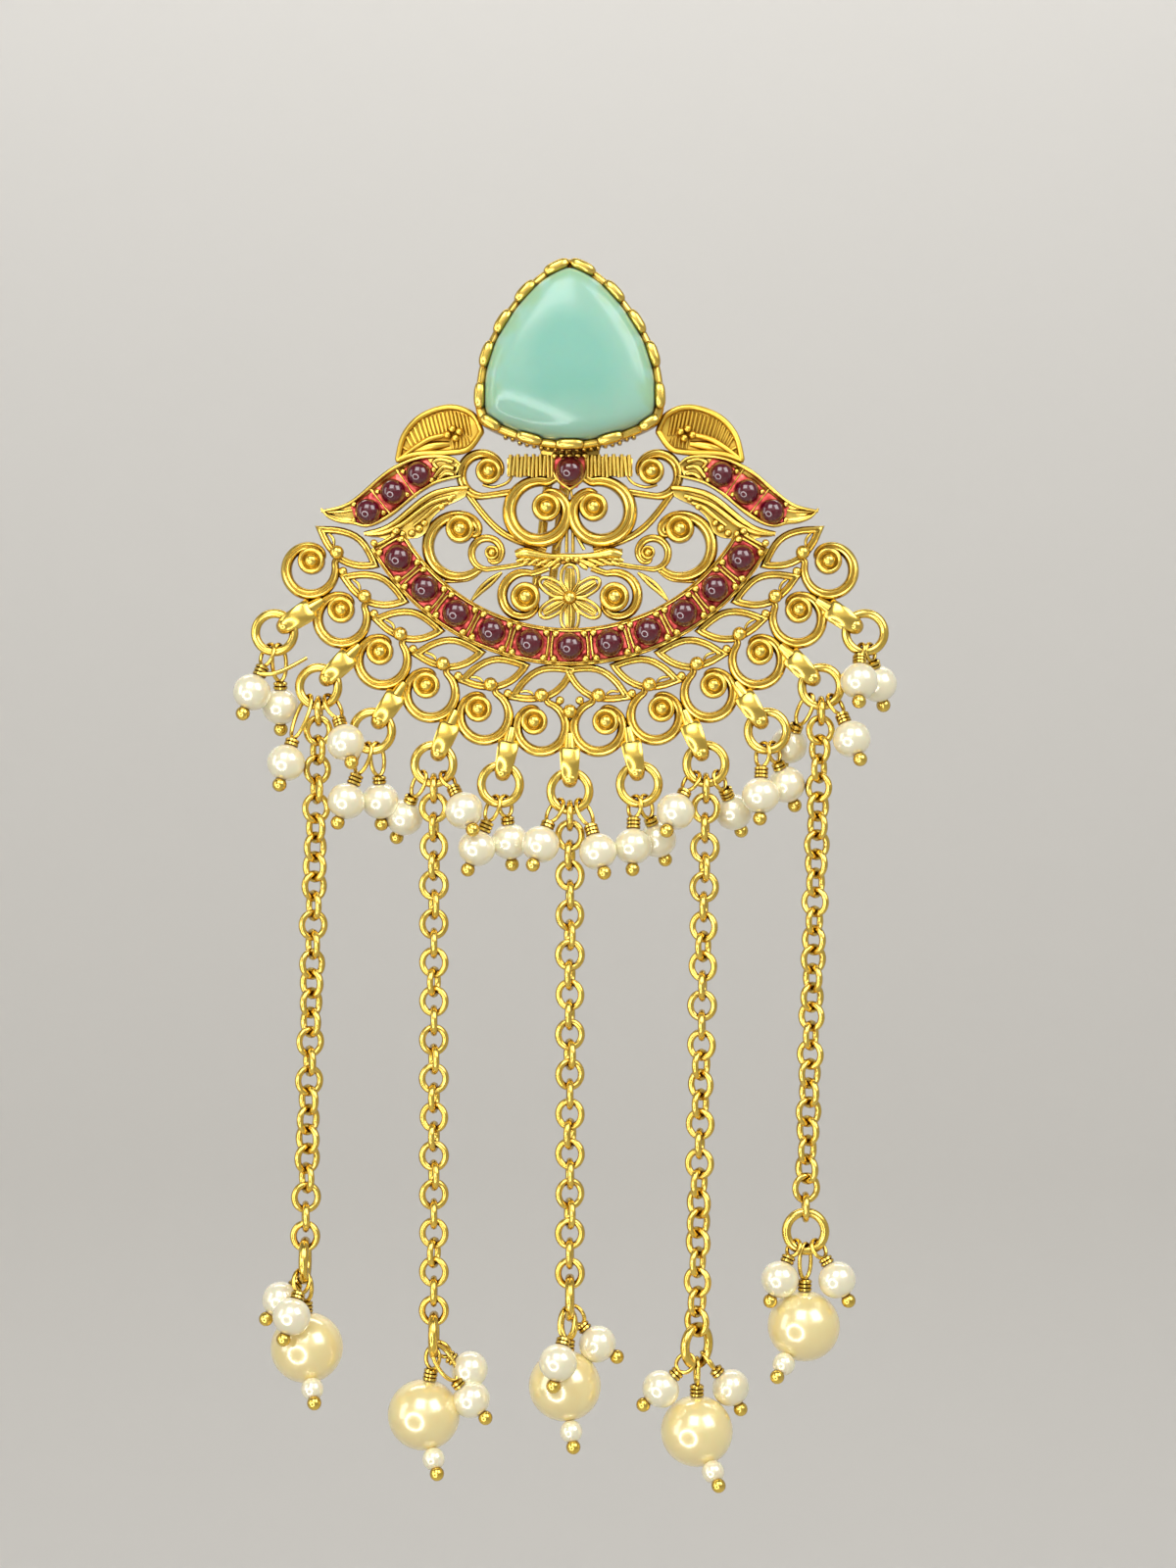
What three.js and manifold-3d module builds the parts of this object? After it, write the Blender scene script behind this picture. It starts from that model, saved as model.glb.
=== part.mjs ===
// Hair bun brooch: a gold filigree plate with a mint stone in a scalloped bezel, a
// crescent of ruby cabochons, scrolls with eleven jump rings, pearls and five chains.
import * as THREE from 'three';
import { mergeVertices } from 'three/addons/utils/BufferGeometryUtils.js';
import Module from 'manifold-3d';

const wasm = await Module();
wasm.setup();

// Driving dimensions in millimetres. The plate is laid out with x to the right and z up
// from the centre of the small flower; its front faces -y.
const pinRootHeight = 26;
const plateBack = 0.5;
const wireFront = -0.6;
const bandFront = -0.9;
const wallFront = -1.5;
const fanHeight = 17.7;
const bandInner = 21.0;
const bandOuter = 25.2;
const bandHalfAngle = 60.5;
const rubyCircle = 23.1;
const rubyStep = 10.9;
const rubyRadius = 1.45;
const unitCircle = 28.6;
const unitFirst = 6.3;
const unitStep = 11.45;
const bailStep = 11.3;
const bailCircle = 36.45;
const ringCircle = 39;
const ringRadius = 2.07;
const ringWire = 0.42;
const eyeRadius = 0.95;
const eyeWire = 0.2;
const pearlRadius = 2;
const dropRadius = 4;
const chainRadius = 1.3;
const seatGap = 0.3;

const gold = { color: '#d8a42e', roughness: 0.32, metalness: 1 };
const chainGold = { color: '#cf9a2b', roughness: 0.35, metalness: 1 };
const ruby = { color: '#6e1024', roughness: 0.1, metalness: 0 };
const mint = { color: '#9fd6c0', roughness: 0.12, metalness: 0 };
const pearl = { color: '#f3ead8', roughness: 0.25, metalness: 0 };

const rad = THREE.MathUtils.degToRad;
const at = (x, z) => new THREE.Vector2(x, z);

function solidOf(geometry) {
  const plain = geometry.clone();
  plain.deleteAttribute('normal');
  plain.deleteAttribute('uv');
  const merged = mergeVertices(plain, 1e-4);
  return new wasm.Manifold(new wasm.Mesh({
    numProp: 3,
    vertProperties: new Float32Array(merged.attributes.position.array),
    triVerts: new Uint32Array(merged.index.array),
  }));
}

function geometryOf(solid) {
  const { vertProperties, triVerts } = solid.getMesh();
  const geometry = new THREE.BufferGeometry();
  geometry.setAttribute('position', new THREE.BufferAttribute(vertProperties, 3));
  geometry.setIndex(new THREE.BufferAttribute(triVerts, 1));
  geometry.computeVertexNormals();
  return geometry;
}

const joined = (geometries) => geometryOf(geometries.map(solidOf).reduce((a, b) => a.add(b)));

// A flat shape drawn in x and z, made solid from the plane y = back to y = front.
function slab(shape, back, front, curveSegments = 6) {
  const options = { depth: back - front, bevelEnabled: false, curveSegments };
  return new THREE.ExtrudeGeometry(shape, options).rotateX(Math.PI / 2).translate(0, back, 0);
}

// A flat strap along a line of points, with square ends and a width that may taper.
function strap(points, width, back, front, endWidth = width) {
  const left = [];
  const right = [];
  points.forEach((point, i) => {
    const along = at(0, 0).subVectors(points[Math.min(i + 1, points.length - 1)], points[Math.max(i - 1, 0)]);
    const side = at(-along.y, along.x).normalize();
    const t = i / (points.length - 1);
    const half = THREE.MathUtils.lerp(endWidth, width, Math.sin(Math.PI * t)) / 2;
    left.push(point.clone().addScaledVector(side, half));
    right.unshift(point.clone().addScaledVector(side, -half));
  });
  return slab(new THREE.Shape([...left, ...right]), back, front);
}

const curved = (rows, steps) => new THREE.SplineCurve(rows.map(([x, z]) => at(x, z))).getSpacedPoints(steps);

// The middle line of a scroll: a round loop that winds in towards its button.
function scrollLine({ loop, radius, button, buttonRadius, from, turn, lead = [], steps = 14 }) {
  const line = lead.map(([x, z]) => at(x, z));
  for (let i = 0; i <= steps; i += 1) {
    const wound = (i / steps) ** 4;
    const angle = rad(from + turn * i / steps);
    const r = THREE.MathUtils.lerp(radius, buttonRadius * 0.85, wound);
    const centre = at(...loop).lerp(at(...button), wound);
    line.push(at(centre.x + r * Math.cos(angle), centre.y + r * Math.sin(angle)));
  }
  return line;
}

// A round boss with a low domed top, standing on the plate's back plane.
function boss(x, z, radius, top, segments = 7) {
  const profile = [at(0, top), at(radius, top + 0.5), at(radius, plateBack), at(0, plateBack)];
  return new THREE.LatheGeometry(profile, segments).translate(x, 0, z);
}

const ball = (x, y, z, r, across = 8, up = 6) => new THREE.SphereGeometry(r, across, up).translate(x, y, z);

// Turns a point of the fan, given by angle from straight down and radius, into x and z.
const onFan = (angle, radius) => at(radius * Math.sin(rad(angle)), fanHeight - radius * Math.cos(rad(angle)));

// Places a shape drawn at a fan circle (x along the circle, z inwards) at its angle.
function placeOnFan(geometry, angle, radius, side) {
  const spot = onFan(angle, radius);
  return geometry.rotateY(-rad(angle) * side).translate(spot.x * side, 0, spot.y);
}

// Centre scrolls, drawn for the right half and mirrored to the left.
const scrolls = [
  { loop: [3.3, 9.5], radius: 3.4, button: [2.6, 10], buttonRadius: 1.6, from: 108, turn: -375, width: 1.05,
    lead: [[1.3, 13.6]], steps: 14 },
  { loop: [9.2, 13.8], radius: 2.3, button: [8.5, 14], buttonRadius: 1.45, from: -95, turn: 280, width: 0.9,
    lead: [[6, 11.6]], steps: 10 },
  { loop: [12.3, 5.7], radius: 3.4, button: [12.1, 7.6], buttonRadius: 1.6, from: -130, turn: 330, width: 1,
    steps: 12 },
  { loop: [9.1, 4.9], radius: 1.75, button: [8.6, 5], buttonRadius: 0.8, from: -105, turn: 330, width: 0.65,
    lead: [[2.2, 3.6], [4.2, 4], [6.3, 3.5]], steps: 10 },
  { loop: [4.9, 0.2], radius: 2.6, button: [4.9, 0.1], buttonRadius: 1.65, from: 110, turn: -250, width: 0.9,
    lead: [[2.4, 3.3]], steps: 10 },
];

function centreScrolls(side) {
  return scrolls.flatMap((scroll) => {
    const line = scrollLine(scroll).map((p) => at(p.x * side, p.y));
    const [x, z] = scroll.button;
    return [strap(line, scroll.width, plateBack, wireFront, scroll.width * 0.6),
      boss(x * side, z, scroll.buttonRadius, wireFront - 0.6)];
  });
}

// Straps and leaf-shaped borders that tie the centre scrolls together.
const straps = [
  { line: [[11.3, 11.6], [8, 7.6], [6, 6.4], [2.6, 5]], width: 0.85, end: 0.85, steps: 5 },
  { line: [[10.6, 12], [13.6, 10.8], [16.6, 8.5], [19.2, 7.3], [22.2, 7.3]], width: 1.7, end: 0.7, steps: 8 },
  { line: [[7.4, 2.9], [9, 1.5], [10.9, -0.4]], width: 1, end: 0.4, steps: 4 },
];

const centreStraps = (side) => straps.map(({ line, width, end, steps }) =>
  strap(curved(line, steps).map((p) => at(p.x * side, p.y)), width, plateBack, wireFront + 0.1, end));

function petal(angle, inner, outer, width) {
  const middle = (inner + outer) * 0.45;
  const shape = new THREE.Shape([at(inner, 0), at(middle, width / 2), at(outer * 0.85, width / 2),
    at(outer, 0), at(outer * 0.85, -width / 2), at(middle, -width / 2)]);
  return slab(shape, plateBack, wireFront).rotateY(-rad(angle));
}

function flower() {
  const petals = [90, 270].map((angle) => petal(angle, 0.3, 4.1, 1.6));
  const slanted = [35, 145, 215, 325].map((angle) => petal(angle, 0.3, 3.6, 1.3));
  return [...petals, ...slanted, ball(0, -0.5, 0, 0.8, 6, 4)];
}

// The fluted bars beside the centre ruby, its pointed cup, and the textured cross bar.
function bars() {
  const bar = (x0, x1, z0, z1, front) =>
    slab(new THREE.Shape([at(x0, z0), at(x1, z0), at(x1, z1), at(x0, z1)]), plateBack, front);
  const cup = new THREE.Shape([at(-2, 14.6), at(-1.7, 12.9), at(0, 11.4), at(1.7, 12.9), at(2, 14.6),
    at(1.2, 15.7), at(-1.2, 15.7)]);
  return [bar(1.4, 7.3, 13.3, 15.5, -0.7), bar(-7.3, -1.4, 13.3, 15.5, -0.7), bar(-5.3, 5.3, 3.7, 5.2, -0.5),
    slab(cup, plateBack, bandFront), bar(-0.5, 0.5, 8, 11.9, -0.4)];
}

// The crescent: a curved band with raised walls between its eleven stone cells.
function crescent() {
  const outline = new THREE.Shape();
  const low = -Math.PI / 2;
  outline.absarc(0, fanHeight, bandOuter, low - rad(bandHalfAngle), low + rad(bandHalfAngle), false);
  outline.absarc(0, fanHeight, bandInner, low + rad(bandHalfAngle), low - rad(bandHalfAngle), true);
  const walls = [];
  for (let k = -5.5; k <= 5.5; k += 1) {
    const wall = new THREE.BoxGeometry(0.45, plateBack - wallFront, bandOuter - bandInner - 0.4);
    walls.push(placeOnFan(wall.translate(0, (plateBack + wallFront) / 2, 0), Math.abs(k) * rubyStep,
      (bandInner + bandOuter) / 2, Math.sign(k)));
  }
  return [slab(outline, plateBack, bandFront, 14), ...walls];
}

// One outer unit of the fan: an open leaf, a small ball and a scroll with its button.
function outerUnit(angle, side) {
  const leaf = new THREE.Shape();
  leaf.moveTo(-3.3 * side, 4);
  leaf.quadraticCurveTo(0.9 * side, 3.6, 3.1 * side, -0.8);
  leaf.quadraticCurveTo(-1.6 * side, -1.4, -3.3 * side, 4);
  const hole = new THREE.Path();
  hole.moveTo(-2 * side, 2.3);
  hole.quadraticCurveTo(-0.9 * side, -0.4, 2 * side, -0.2);
  hole.quadraticCurveTo(0.7 * side, 2.2, -2 * side, 2.3);
  leaf.holes.push(hole);
  const scroll = { loop: [-0.3, -3.5], radius: 2.8, button: [0.48, -2.95], buttonRadius: 1.5, from: 100,
    turn: 355, lead: [[0.2, 0]], steps: 10 };
  const line = scrollLine(scroll).map((p) => at(p.x * side, p.y));
  const pieces = [slab(leaf, plateBack, wireFront + 0.05, 3), strap(line, 0.85, plateBack, wireFront, 0.6),
    boss(0.48 * side, -2.95, 1.5, wireFront - 0.5), ball(0, -0.6, 0, 0.65, 5, 3)];
  return pieces.map((piece) => placeOnFan(piece, angle, unitCircle, side));
}

// A bail: a strap bent into a loop, open from side to side, on a short stem.
function bail(k) {
  const outline = new THREE.Shape();
  outline.absellipse(0, 0, 1.9, 1.35, 0, Math.PI * 2);
  const eye = new THREE.Path();
  eye.absellipse(0, 0, 1.45, 0.85, 0, Math.PI * 2, true);
  outline.holes.push(eye);
  const options = { depth: 1.3, bevelEnabled: false, curveSegments: 4 };
  const loop = new THREE.ExtrudeGeometry(outline, options).translate(0, 0, -0.65).rotateY(-Math.PI / 2);
  const stem = new THREE.BoxGeometry(1, 0.8, 2.6).translate(0, 0, 2.9);
  const angle = Math.abs(k) * bailStep;
  return [loop, stem].map((piece) => placeOnFan(piece, angle, bailCircle, Math.sign(k) || 1));
}

// A ribbed leaf beside the bezel, and below it the pointed plate that holds three rubies.
const leafEdge = [[9.7, 18.4], [11, 20.4], [13.4, 21], [16.5, 19.9], [18.6, 17.6], [19.3, 14.2], [16.5, 15.2],
  [13.6, 15.3], [11.4, 16.1]];
const wingEdge = [[11.6, 14.8], [15, 15.6], [18.3, 14.5], [22.4, 11.2], [27.1, 9.4], [24.8, 7.9], [21.8, 7.6],
  [19, 9], [17, 11], [14.6, 12.4], [11.6, 12.9]];
const wingRubies = [[16.6, 13.4], [19.35, 11.4], [22.15, 9.35]];

function wing(side) {
  const shape = (rows) => new THREE.Shape(rows.map(([x, z]) => at(x * side, z)));
  const mid = strap(curved([[13.6, 18.2], [16.4, 17.6], [19, 15.4]], 4).map((p) => at(p.x * side, p.y)), 0.7,
    plateBack, -1.5, 0.5);
  return [slab(shape(leafEdge), plateBack, -1.1), slab(shape(wingEdge), plateBack, bandFront), mid,
    ball(13.4 * side, -1.1, 18.2, 0.7, 6, 4)];
}

// The bezel outline: a soft triangle with its point up, as half its outer edge.
const bezelCentre = 25.5;
const bezelHalf = [[0, 36.9], [2.2, 36.3], [3.9, 35], [6, 32.7], [7.9, 29.9], [9.3, 27.2], [10.1, 24.6],
  [10.4, 22], [10.4, 20], [9.7, 18.8], [7.5, 17.7], [5, 16.7], [2.5, 16.2]];
const bezelEdge = [...bezelHalf, [0, 16.05], ...bezelHalf.slice(1).reverse().map(([x, z]) => [-x, z])];

const bezelShape = (scale) =>
  bezelEdge.map(([x, z]) => at(x * scale, bezelCentre + (z - bezelCentre) * scale));

const bezelDepth = { back: 0.6, floor: -0.7, rim: -3.8 };

function bezel() {
  const cup = solidOf(slab(new THREE.Shape(bezelShape(1)), bezelDepth.back, bezelDepth.rim));
  const hollow = solidOf(slab(new THREE.Shape(bezelShape(0.87)), bezelDepth.floor, bezelDepth.rim - 1));
  const bumps = [[2.6, 35.9], [5.1, 33.4], [7.3, 30.3], [9.1, 26.9], [9.9, 22.4], [8.2, 18.4], [4.3, 16.9]];
  const bump = (x, z) => ball(x, bezelDepth.rim, z, 0.8, 5, 3);
  const rim = bumps.flatMap(([x, z]) => [bump(-x * 0.98, z), bump(x * 0.98, z)]);
  return [geometryOf(cup.subtract(hollow)), ...rim, bump(0, 16.9)];
}

// The stone: a domed cushion that follows the bezel, made by turning a profile and then
// giving each turned section the outline's own radius.
function stoneGeometry() {
  const profile = [at(0, -6.4), at(0.45, -6.1), at(0.8, -5.1), at(1, -3.1), at(1, -1), at(0, -1)];
  const edge = bezelShape(0.84);
  const geometry = new THREE.LatheGeometry(profile, edge.length);
  const position = geometry.attributes.position;
  for (let i = 0; i < position.count; i += 1) {
    const point = edge[Math.floor(i / profile.length) % edge.length];
    const { x: reach, y } = profile[i % profile.length];
    position.setXYZ(i, point.x * reach, y, bezelCentre + (point.y - bezelCentre) * reach);
  }
  return geometry;
}

// The pin: two parallel wires that leave the bezel's back, turn down and end in points.
function hairPin() {
  const section = new THREE.Shape();
  section.absarc(0, 0, 0.54, 0, Math.PI * 2);
  return [-1, 1].map((side) => {
    const lean = (z) => side * 0.9 + (z - pinRootHeight) * 0.12;
    const route = new THREE.CatmullRomCurve3([[pinRootHeight, 0.3], [pinRootHeight - 0.2, 2.2],
      [pinRootHeight - 1.8, 3.6], [12, 3.9], [0, 3.9]].map(([z, y]) => new THREE.Vector3(lean(z), y, z)));
    const options = { steps: 7, curveSegments: 3, bevelEnabled: false, extrudePath: route };
    return new THREE.ExtrudeGeometry(section, options);
  });
}

// A back strap that the bezel, the fluted bars and the pin are soldered to.
const backStrap = () => slab(new THREE.Shape([at(-3, 12.6), at(3, 12.6), at(4, 19), at(-4, 19)]), 0.9, 0.2);

function filigreeBody() {
  const middleBall = ball(0, -0.3, -12.6, 0.8, 6, 4);
  const pieces = [backStrap(), ...bezel(), ...bars(), ...flower(), ...crescent(), middleBall, ...hairPin()];
  [-1, 1].forEach((side) => {
    pieces.push(...centreScrolls(side), ...centreStraps(side), ...wing(side));
    for (let k = 0; k < 6; k += 1) pieces.push(...outerUnit(unitFirst + unitStep * k, side));
  });
  for (let k = -5; k <= 5; k += 1) pieces.push(...bail(k));
  return joined(pieces);
}

function rubyGeometry(radius) {
  const profile = [at(0, -1.5), at(radius * 0.55, -1.3), at(radius * 0.9, -0.75), at(radius, -0.2),
    at(radius, 0), at(0, 0)];
  return new THREE.LatheGeometry(profile, 8);
}

function ringGeometry(turn = 0) {
  return new THREE.TorusGeometry(ringRadius, ringWire, 5, 12).rotateX(Math.PI / 2).rotateZ(rad(turn));
}

// A pearl on its head pin: an eye round the ring's wire, a short stem, the pearl, and a
// gold ball below. The ring's own plane is turned about its upright by turn.
function dangle({ eye, x, y, z, radius, turn = 0 }) {
  const outwards = new THREE.Vector3(Math.sin(rad(eye)), 0, -Math.cos(rad(eye))).applyAxisAngle(
    new THREE.Vector3(0, 0, 1), rad(turn));
  const hook = new THREE.TorusGeometry(eyeRadius, eyeWire, 3, 6).rotateY(Math.PI / 2).rotateY(-rad(eye))
    .rotateZ(rad(turn)).translate(...outwards.clone().multiplyScalar(ringRadius).toArray());
  const top = outwards.clone().multiplyScalar(ringRadius + eyeRadius);
  const centre = new THREE.Vector3(x, y, z);
  const down = centre.clone().sub(top).normalize();
  const length = centre.distanceTo(top) - radius * 0.9;
  const stem = new THREE.CylinderGeometry(0.36, 0.36, length, 5);
  stem.applyQuaternion(new THREE.Quaternion().setFromUnitVectors(new THREE.Vector3(0, -1, 0), down));
  const half = top.clone().addScaledVector(down, length / 2);
  stem.translate(half.x, half.y, half.z);
  const tip = centre.clone().addScaledVector(down, radius * 0.92 + 0.3);
  return [hook, stem, ball(x, y, z, radius, radius > 3 ? 10 : 8, radius > 3 ? 7 : 5),
    ball(tip.x, tip.y, tip.z, 0.6, 5, 3)];
}

// The two small pearls on each jump ring: eye angle, then x, y and z from the ring's
// centre. Every second ring also carries a chain between its pearls.
const ringPearls = [
  [{ eye: -5, x: -2.4, y: -1, z: -6.6 }, { eye: 5, x: 0.5, y: 1.3, z: -8.1 }],
  [{ eye: -48, x: -3.2, y: -2, z: -7 }, { eye: 48, x: 3.2, y: -2.6, z: -6.2 }],
  [{ eye: -5, x: -2.5, y: -0.85, z: -6.7 }, { eye: 5, x: 1, y: 0.85, z: -6.7 }],
  [{ eye: -48, x: -3.4, y: -2, z: -5.9 }, { eye: 48, x: 3.2, y: -2, z: -5.1 }],
  [{ eye: -5, x: -2.6, y: -0.6, z: -7 }, { eye: 5, x: 1, y: 0.6, z: -6.3 }],
  [{ eye: -48, x: -3.2, y: -2, z: -5.8 }, { eye: 48, x: 3.1, y: -2.2, z: -6.6 }],
  [{ eye: -5, x: -0.7, y: -1, z: -6.8 }, { eye: 5, x: 2.1, y: 1.6, z: -6.1 }],
  [{ eye: -48, x: -3.4, y: -2, z: -5.2 }, { eye: 48, x: 3.2, y: 2.2, z: -5.3 }],
  [{ eye: -5, x: -0.8, y: -1, z: -7.1 }, { eye: 5, x: 2.2, y: 1.1, z: -5.9 }],
  [{ eye: -48, x: -3.3, y: 2.9, z: -6.4 }, { eye: 48, x: 3.2, y: -2, z: -5.8 }],
  [{ eye: -5, x: -0.8, y: -1.8, z: -5.4 }, { eye: 5, x: 1.6, y: 1.3, z: -5.6 }],
];

// The five chains: the jump ring each hangs from, the height of its end ring and how far
// that ring is turned, then its large pearl and two small ones from the end ring's centre.
const chains = [
  { ring: 2, end: -72.6, turn: 90, drop: [0.2, 0, -9.4],
    small: [[-2.62, -0.5, -4.75], [-1.05, -4.1, -6]], eyes: [40, -50] },
  { ring: 4, end: -80.6, turn: 90, drop: [-1.1, 0, -8.6],
    small: [[3.9, 0.7, -3.8], [4.05, -0.5, -6.9]], eyes: [40, -40] },
  { ring: 6, end: -77.1, turn: 90, drop: [-0.3, 0, -9.2],
    small: [[-1.25, -4.4, -6.25], [3.04, 0.44, -4.95]], eyes: [-50, 40] },
  { ring: 8, end: -81.9, turn: 50, drop: [0, 0, -9.2],
    small: [[-3.4, -1.2, -5.1], [3.35, 1.25, -5.05]], eyes: [-45, 45] },
  { ring: 10, end: -69.1, turn: 0, drop: [0, 0, -10.5],
    small: [[-2.7, -1.1, -5.9], [3.1, -0.85, -6.05]], eyes: [-40, 40] },
];

const brooch = new THREE.Group();
const plate = new THREE.Group();
plate.position.set(0, -bezelDepth.back, -pinRootHeight);
brooch.add(plate);

function add(name, geometry, material, x = 0, y = 0, z = 0) {
  const mesh = new THREE.Mesh(geometry, new THREE.MeshStandardMaterial(material));
  mesh.name = name;
  mesh.position.set(x, y, z);
  plate.add(mesh);
}

add('filigree_body', filigreeBody(), gold);
add('mint_stone', stoneGeometry(), mint);
add('ruby_centre', rubyGeometry(rubyRadius), ruby, 0, bandFront - seatGap, 13.9);
for (let k = -5; k <= 5; k += 1) {
  const spot = onFan(Math.abs(k) * rubyStep, rubyCircle);
  const x = spot.x * (Math.sign(k) || 1);
  add(`ruby_band_${k + 6}`, rubyGeometry(rubyRadius), ruby, x, bandFront - seatGap, spot.y);
}
[['left', -1], ['right', 1]].forEach(([word, side]) => wingRubies.forEach(([x, z], i) =>
  add(`ruby_${word}_${i + 1}`, rubyGeometry(rubyRadius), ruby, x * side, bandFront - seatGap, z)));

const ringSpots = ringPearls.map((row, i) => {
  const spot = onFan(Math.abs(i - 5) * bailStep, ringCircle);
  return at(spot.x * Math.sign(i - 5), spot.y);
});
ringSpots.forEach((spot, i) => {
  const [first, second] = ringPearls[i].map((row) => dangle({ ...row, radius: pearlRadius }));
  add(`jump_ring_${i + 1}`, ringGeometry(), gold, spot.x, 0, spot.y);
  if (i % 2 === 0) {
    add(`pearl_pair_${i + 1}`, joined([...first, ...second]), pearl, spot.x, 0, spot.y);
  } else {
    add(`pearl_${i + 1}_left`, joined(first), pearl, spot.x, 0, spot.y);
    add(`pearl_${i + 1}_right`, joined(second), pearl, spot.x, 0, spot.y);
  }
});

// A chain is one tube of its links' mean width, from just under the jump ring down to the
// end ring, which is joined to it.
chains.forEach(({ ring, end, turn, drop, small, eyes }, i) => {
  const spot = ringSpots[ring - 1];
  const top = spot.y - ringRadius - ringWire - seatGap;
  const section = new THREE.Shape();
  section.absarc(0, 0, chainRadius, 0, Math.PI * 2);
  const route = new THREE.LineCurve3(new THREE.Vector3(0, 0, top), new THREE.Vector3(0, 0, end + ringRadius));
  const options = { steps: 6, curveSegments: 4, bevelEnabled: false, extrudePath: route };
  const tube = new THREE.ExtrudeGeometry(section, options);
  add(`chain_${i + 1}`, joined([tube, ringGeometry(turn).translate(0, 0, end)]), chainGold, spot.x);
  const [dx, dy, dz] = drop;
  const cluster = [...dangle({ eye: 0, x: dx, y: dy, z: dz, radius: dropRadius, turn }),
    ...small.flatMap(([x, y, z], j) => dangle({ eye: eyes[j], x, y, z, radius: pearlRadius, turn }))];
  add(`pearl_cluster_${i + 1}`, joined(cluster), pearl, spot.x, 0, end);
});

export default brooch;
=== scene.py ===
# Hair bun brooch: gold filigree, a mint stone, red cabochons, pearls and five chains.
import math
from functools import partial
import bmesh
import bpy
from mathutils import Matrix, Vector


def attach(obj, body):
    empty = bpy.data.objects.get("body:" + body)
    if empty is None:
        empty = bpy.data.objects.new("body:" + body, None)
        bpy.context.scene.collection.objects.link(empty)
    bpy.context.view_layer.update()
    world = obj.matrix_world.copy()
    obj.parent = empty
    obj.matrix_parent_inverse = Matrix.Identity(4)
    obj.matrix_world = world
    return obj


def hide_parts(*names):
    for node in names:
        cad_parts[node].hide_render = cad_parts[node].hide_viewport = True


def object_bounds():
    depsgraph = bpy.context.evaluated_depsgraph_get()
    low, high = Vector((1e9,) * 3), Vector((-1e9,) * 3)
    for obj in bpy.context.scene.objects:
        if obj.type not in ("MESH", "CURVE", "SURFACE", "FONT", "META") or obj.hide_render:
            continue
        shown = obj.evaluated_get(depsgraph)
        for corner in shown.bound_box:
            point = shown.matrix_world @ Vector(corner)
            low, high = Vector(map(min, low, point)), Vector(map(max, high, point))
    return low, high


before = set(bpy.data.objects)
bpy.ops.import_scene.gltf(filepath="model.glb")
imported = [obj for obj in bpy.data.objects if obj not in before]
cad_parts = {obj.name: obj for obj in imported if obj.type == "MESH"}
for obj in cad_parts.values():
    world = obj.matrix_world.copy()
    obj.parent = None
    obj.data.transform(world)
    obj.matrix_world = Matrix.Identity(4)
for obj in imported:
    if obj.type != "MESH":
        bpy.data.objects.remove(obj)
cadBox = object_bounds()

# Pieces are laid out in millimetres from the small flower's centre: x to the right, z up,
# front towards -y. The pin's root, which is the origin, is 26 mm above it.
mm = 0.001
plateShift = Vector((0, -0.6, -26))
fanHeight = 17.7  # middle of the crescent's and the outer scrolls' arcs
scene = bpy.context.scene


def linear(hexText):
    values = [int(hexText[i:i + 2], 16) / 255 for i in (1, 3, 5)]
    return tuple(v / 12.92 if v <= 0.04045 else ((v + 0.055) / 1.055) ** 2.4 for v in values) + (1.0,)


def addNode(tree, kind, settings=None, links=None):
    node = tree.nodes.new(kind)
    for key, value in (settings or {}).items():
        if isinstance(key, int) or key in node.inputs:
            node.inputs[key].default_value = value
        else:
            setattr(node, key, value)
    for key, socket in (links or {}).items():
        tree.links.new(socket, node.inputs[key])
    return node


def newMaterial(name):
    material = bpy.data.materials.new(name)
    material.use_nodes = True
    tree = material.node_tree
    tree.nodes.clear()
    return material, tree


# Gold: the tones of each finish, and what they share, with its sizes in millimetres. The clouds and
# the grain are drawn as coarse as they need to be to show.
goldLook = {"pale": "#e2bc4c", "hollow": 0.6, "cloud": 2.5, "grain": 0.4, "grainDepth": 0.1,
            "floor": -0.4, "crest": -1.1, "turnedAway": 0.12, "facing": 0.62}
# deep is the brown of the patina and of the painted shade; sides is how much of the bright colour the painted
# side shade leaves
goldFinishes = {
    "cast": {"light": "#efd371", "deep": "#6e420c", "rough": (0.17, 0.32), "bump": 0.1, "sides": 0.25,
             "tierShade": True},
    "satin": {"light": "#ecc656", "deep": "#8c5404", "rough": (0.24, 0.38), "bump": 0.1, "sides": 0.3,
              "tierShade": True},
    "wire": {"light": "#efd270", "deep": "#6e420c", "rough": (0.14, 0.25), "bump": 0.06, "sides": 0.4,
             "tierShade": False},
}


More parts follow.
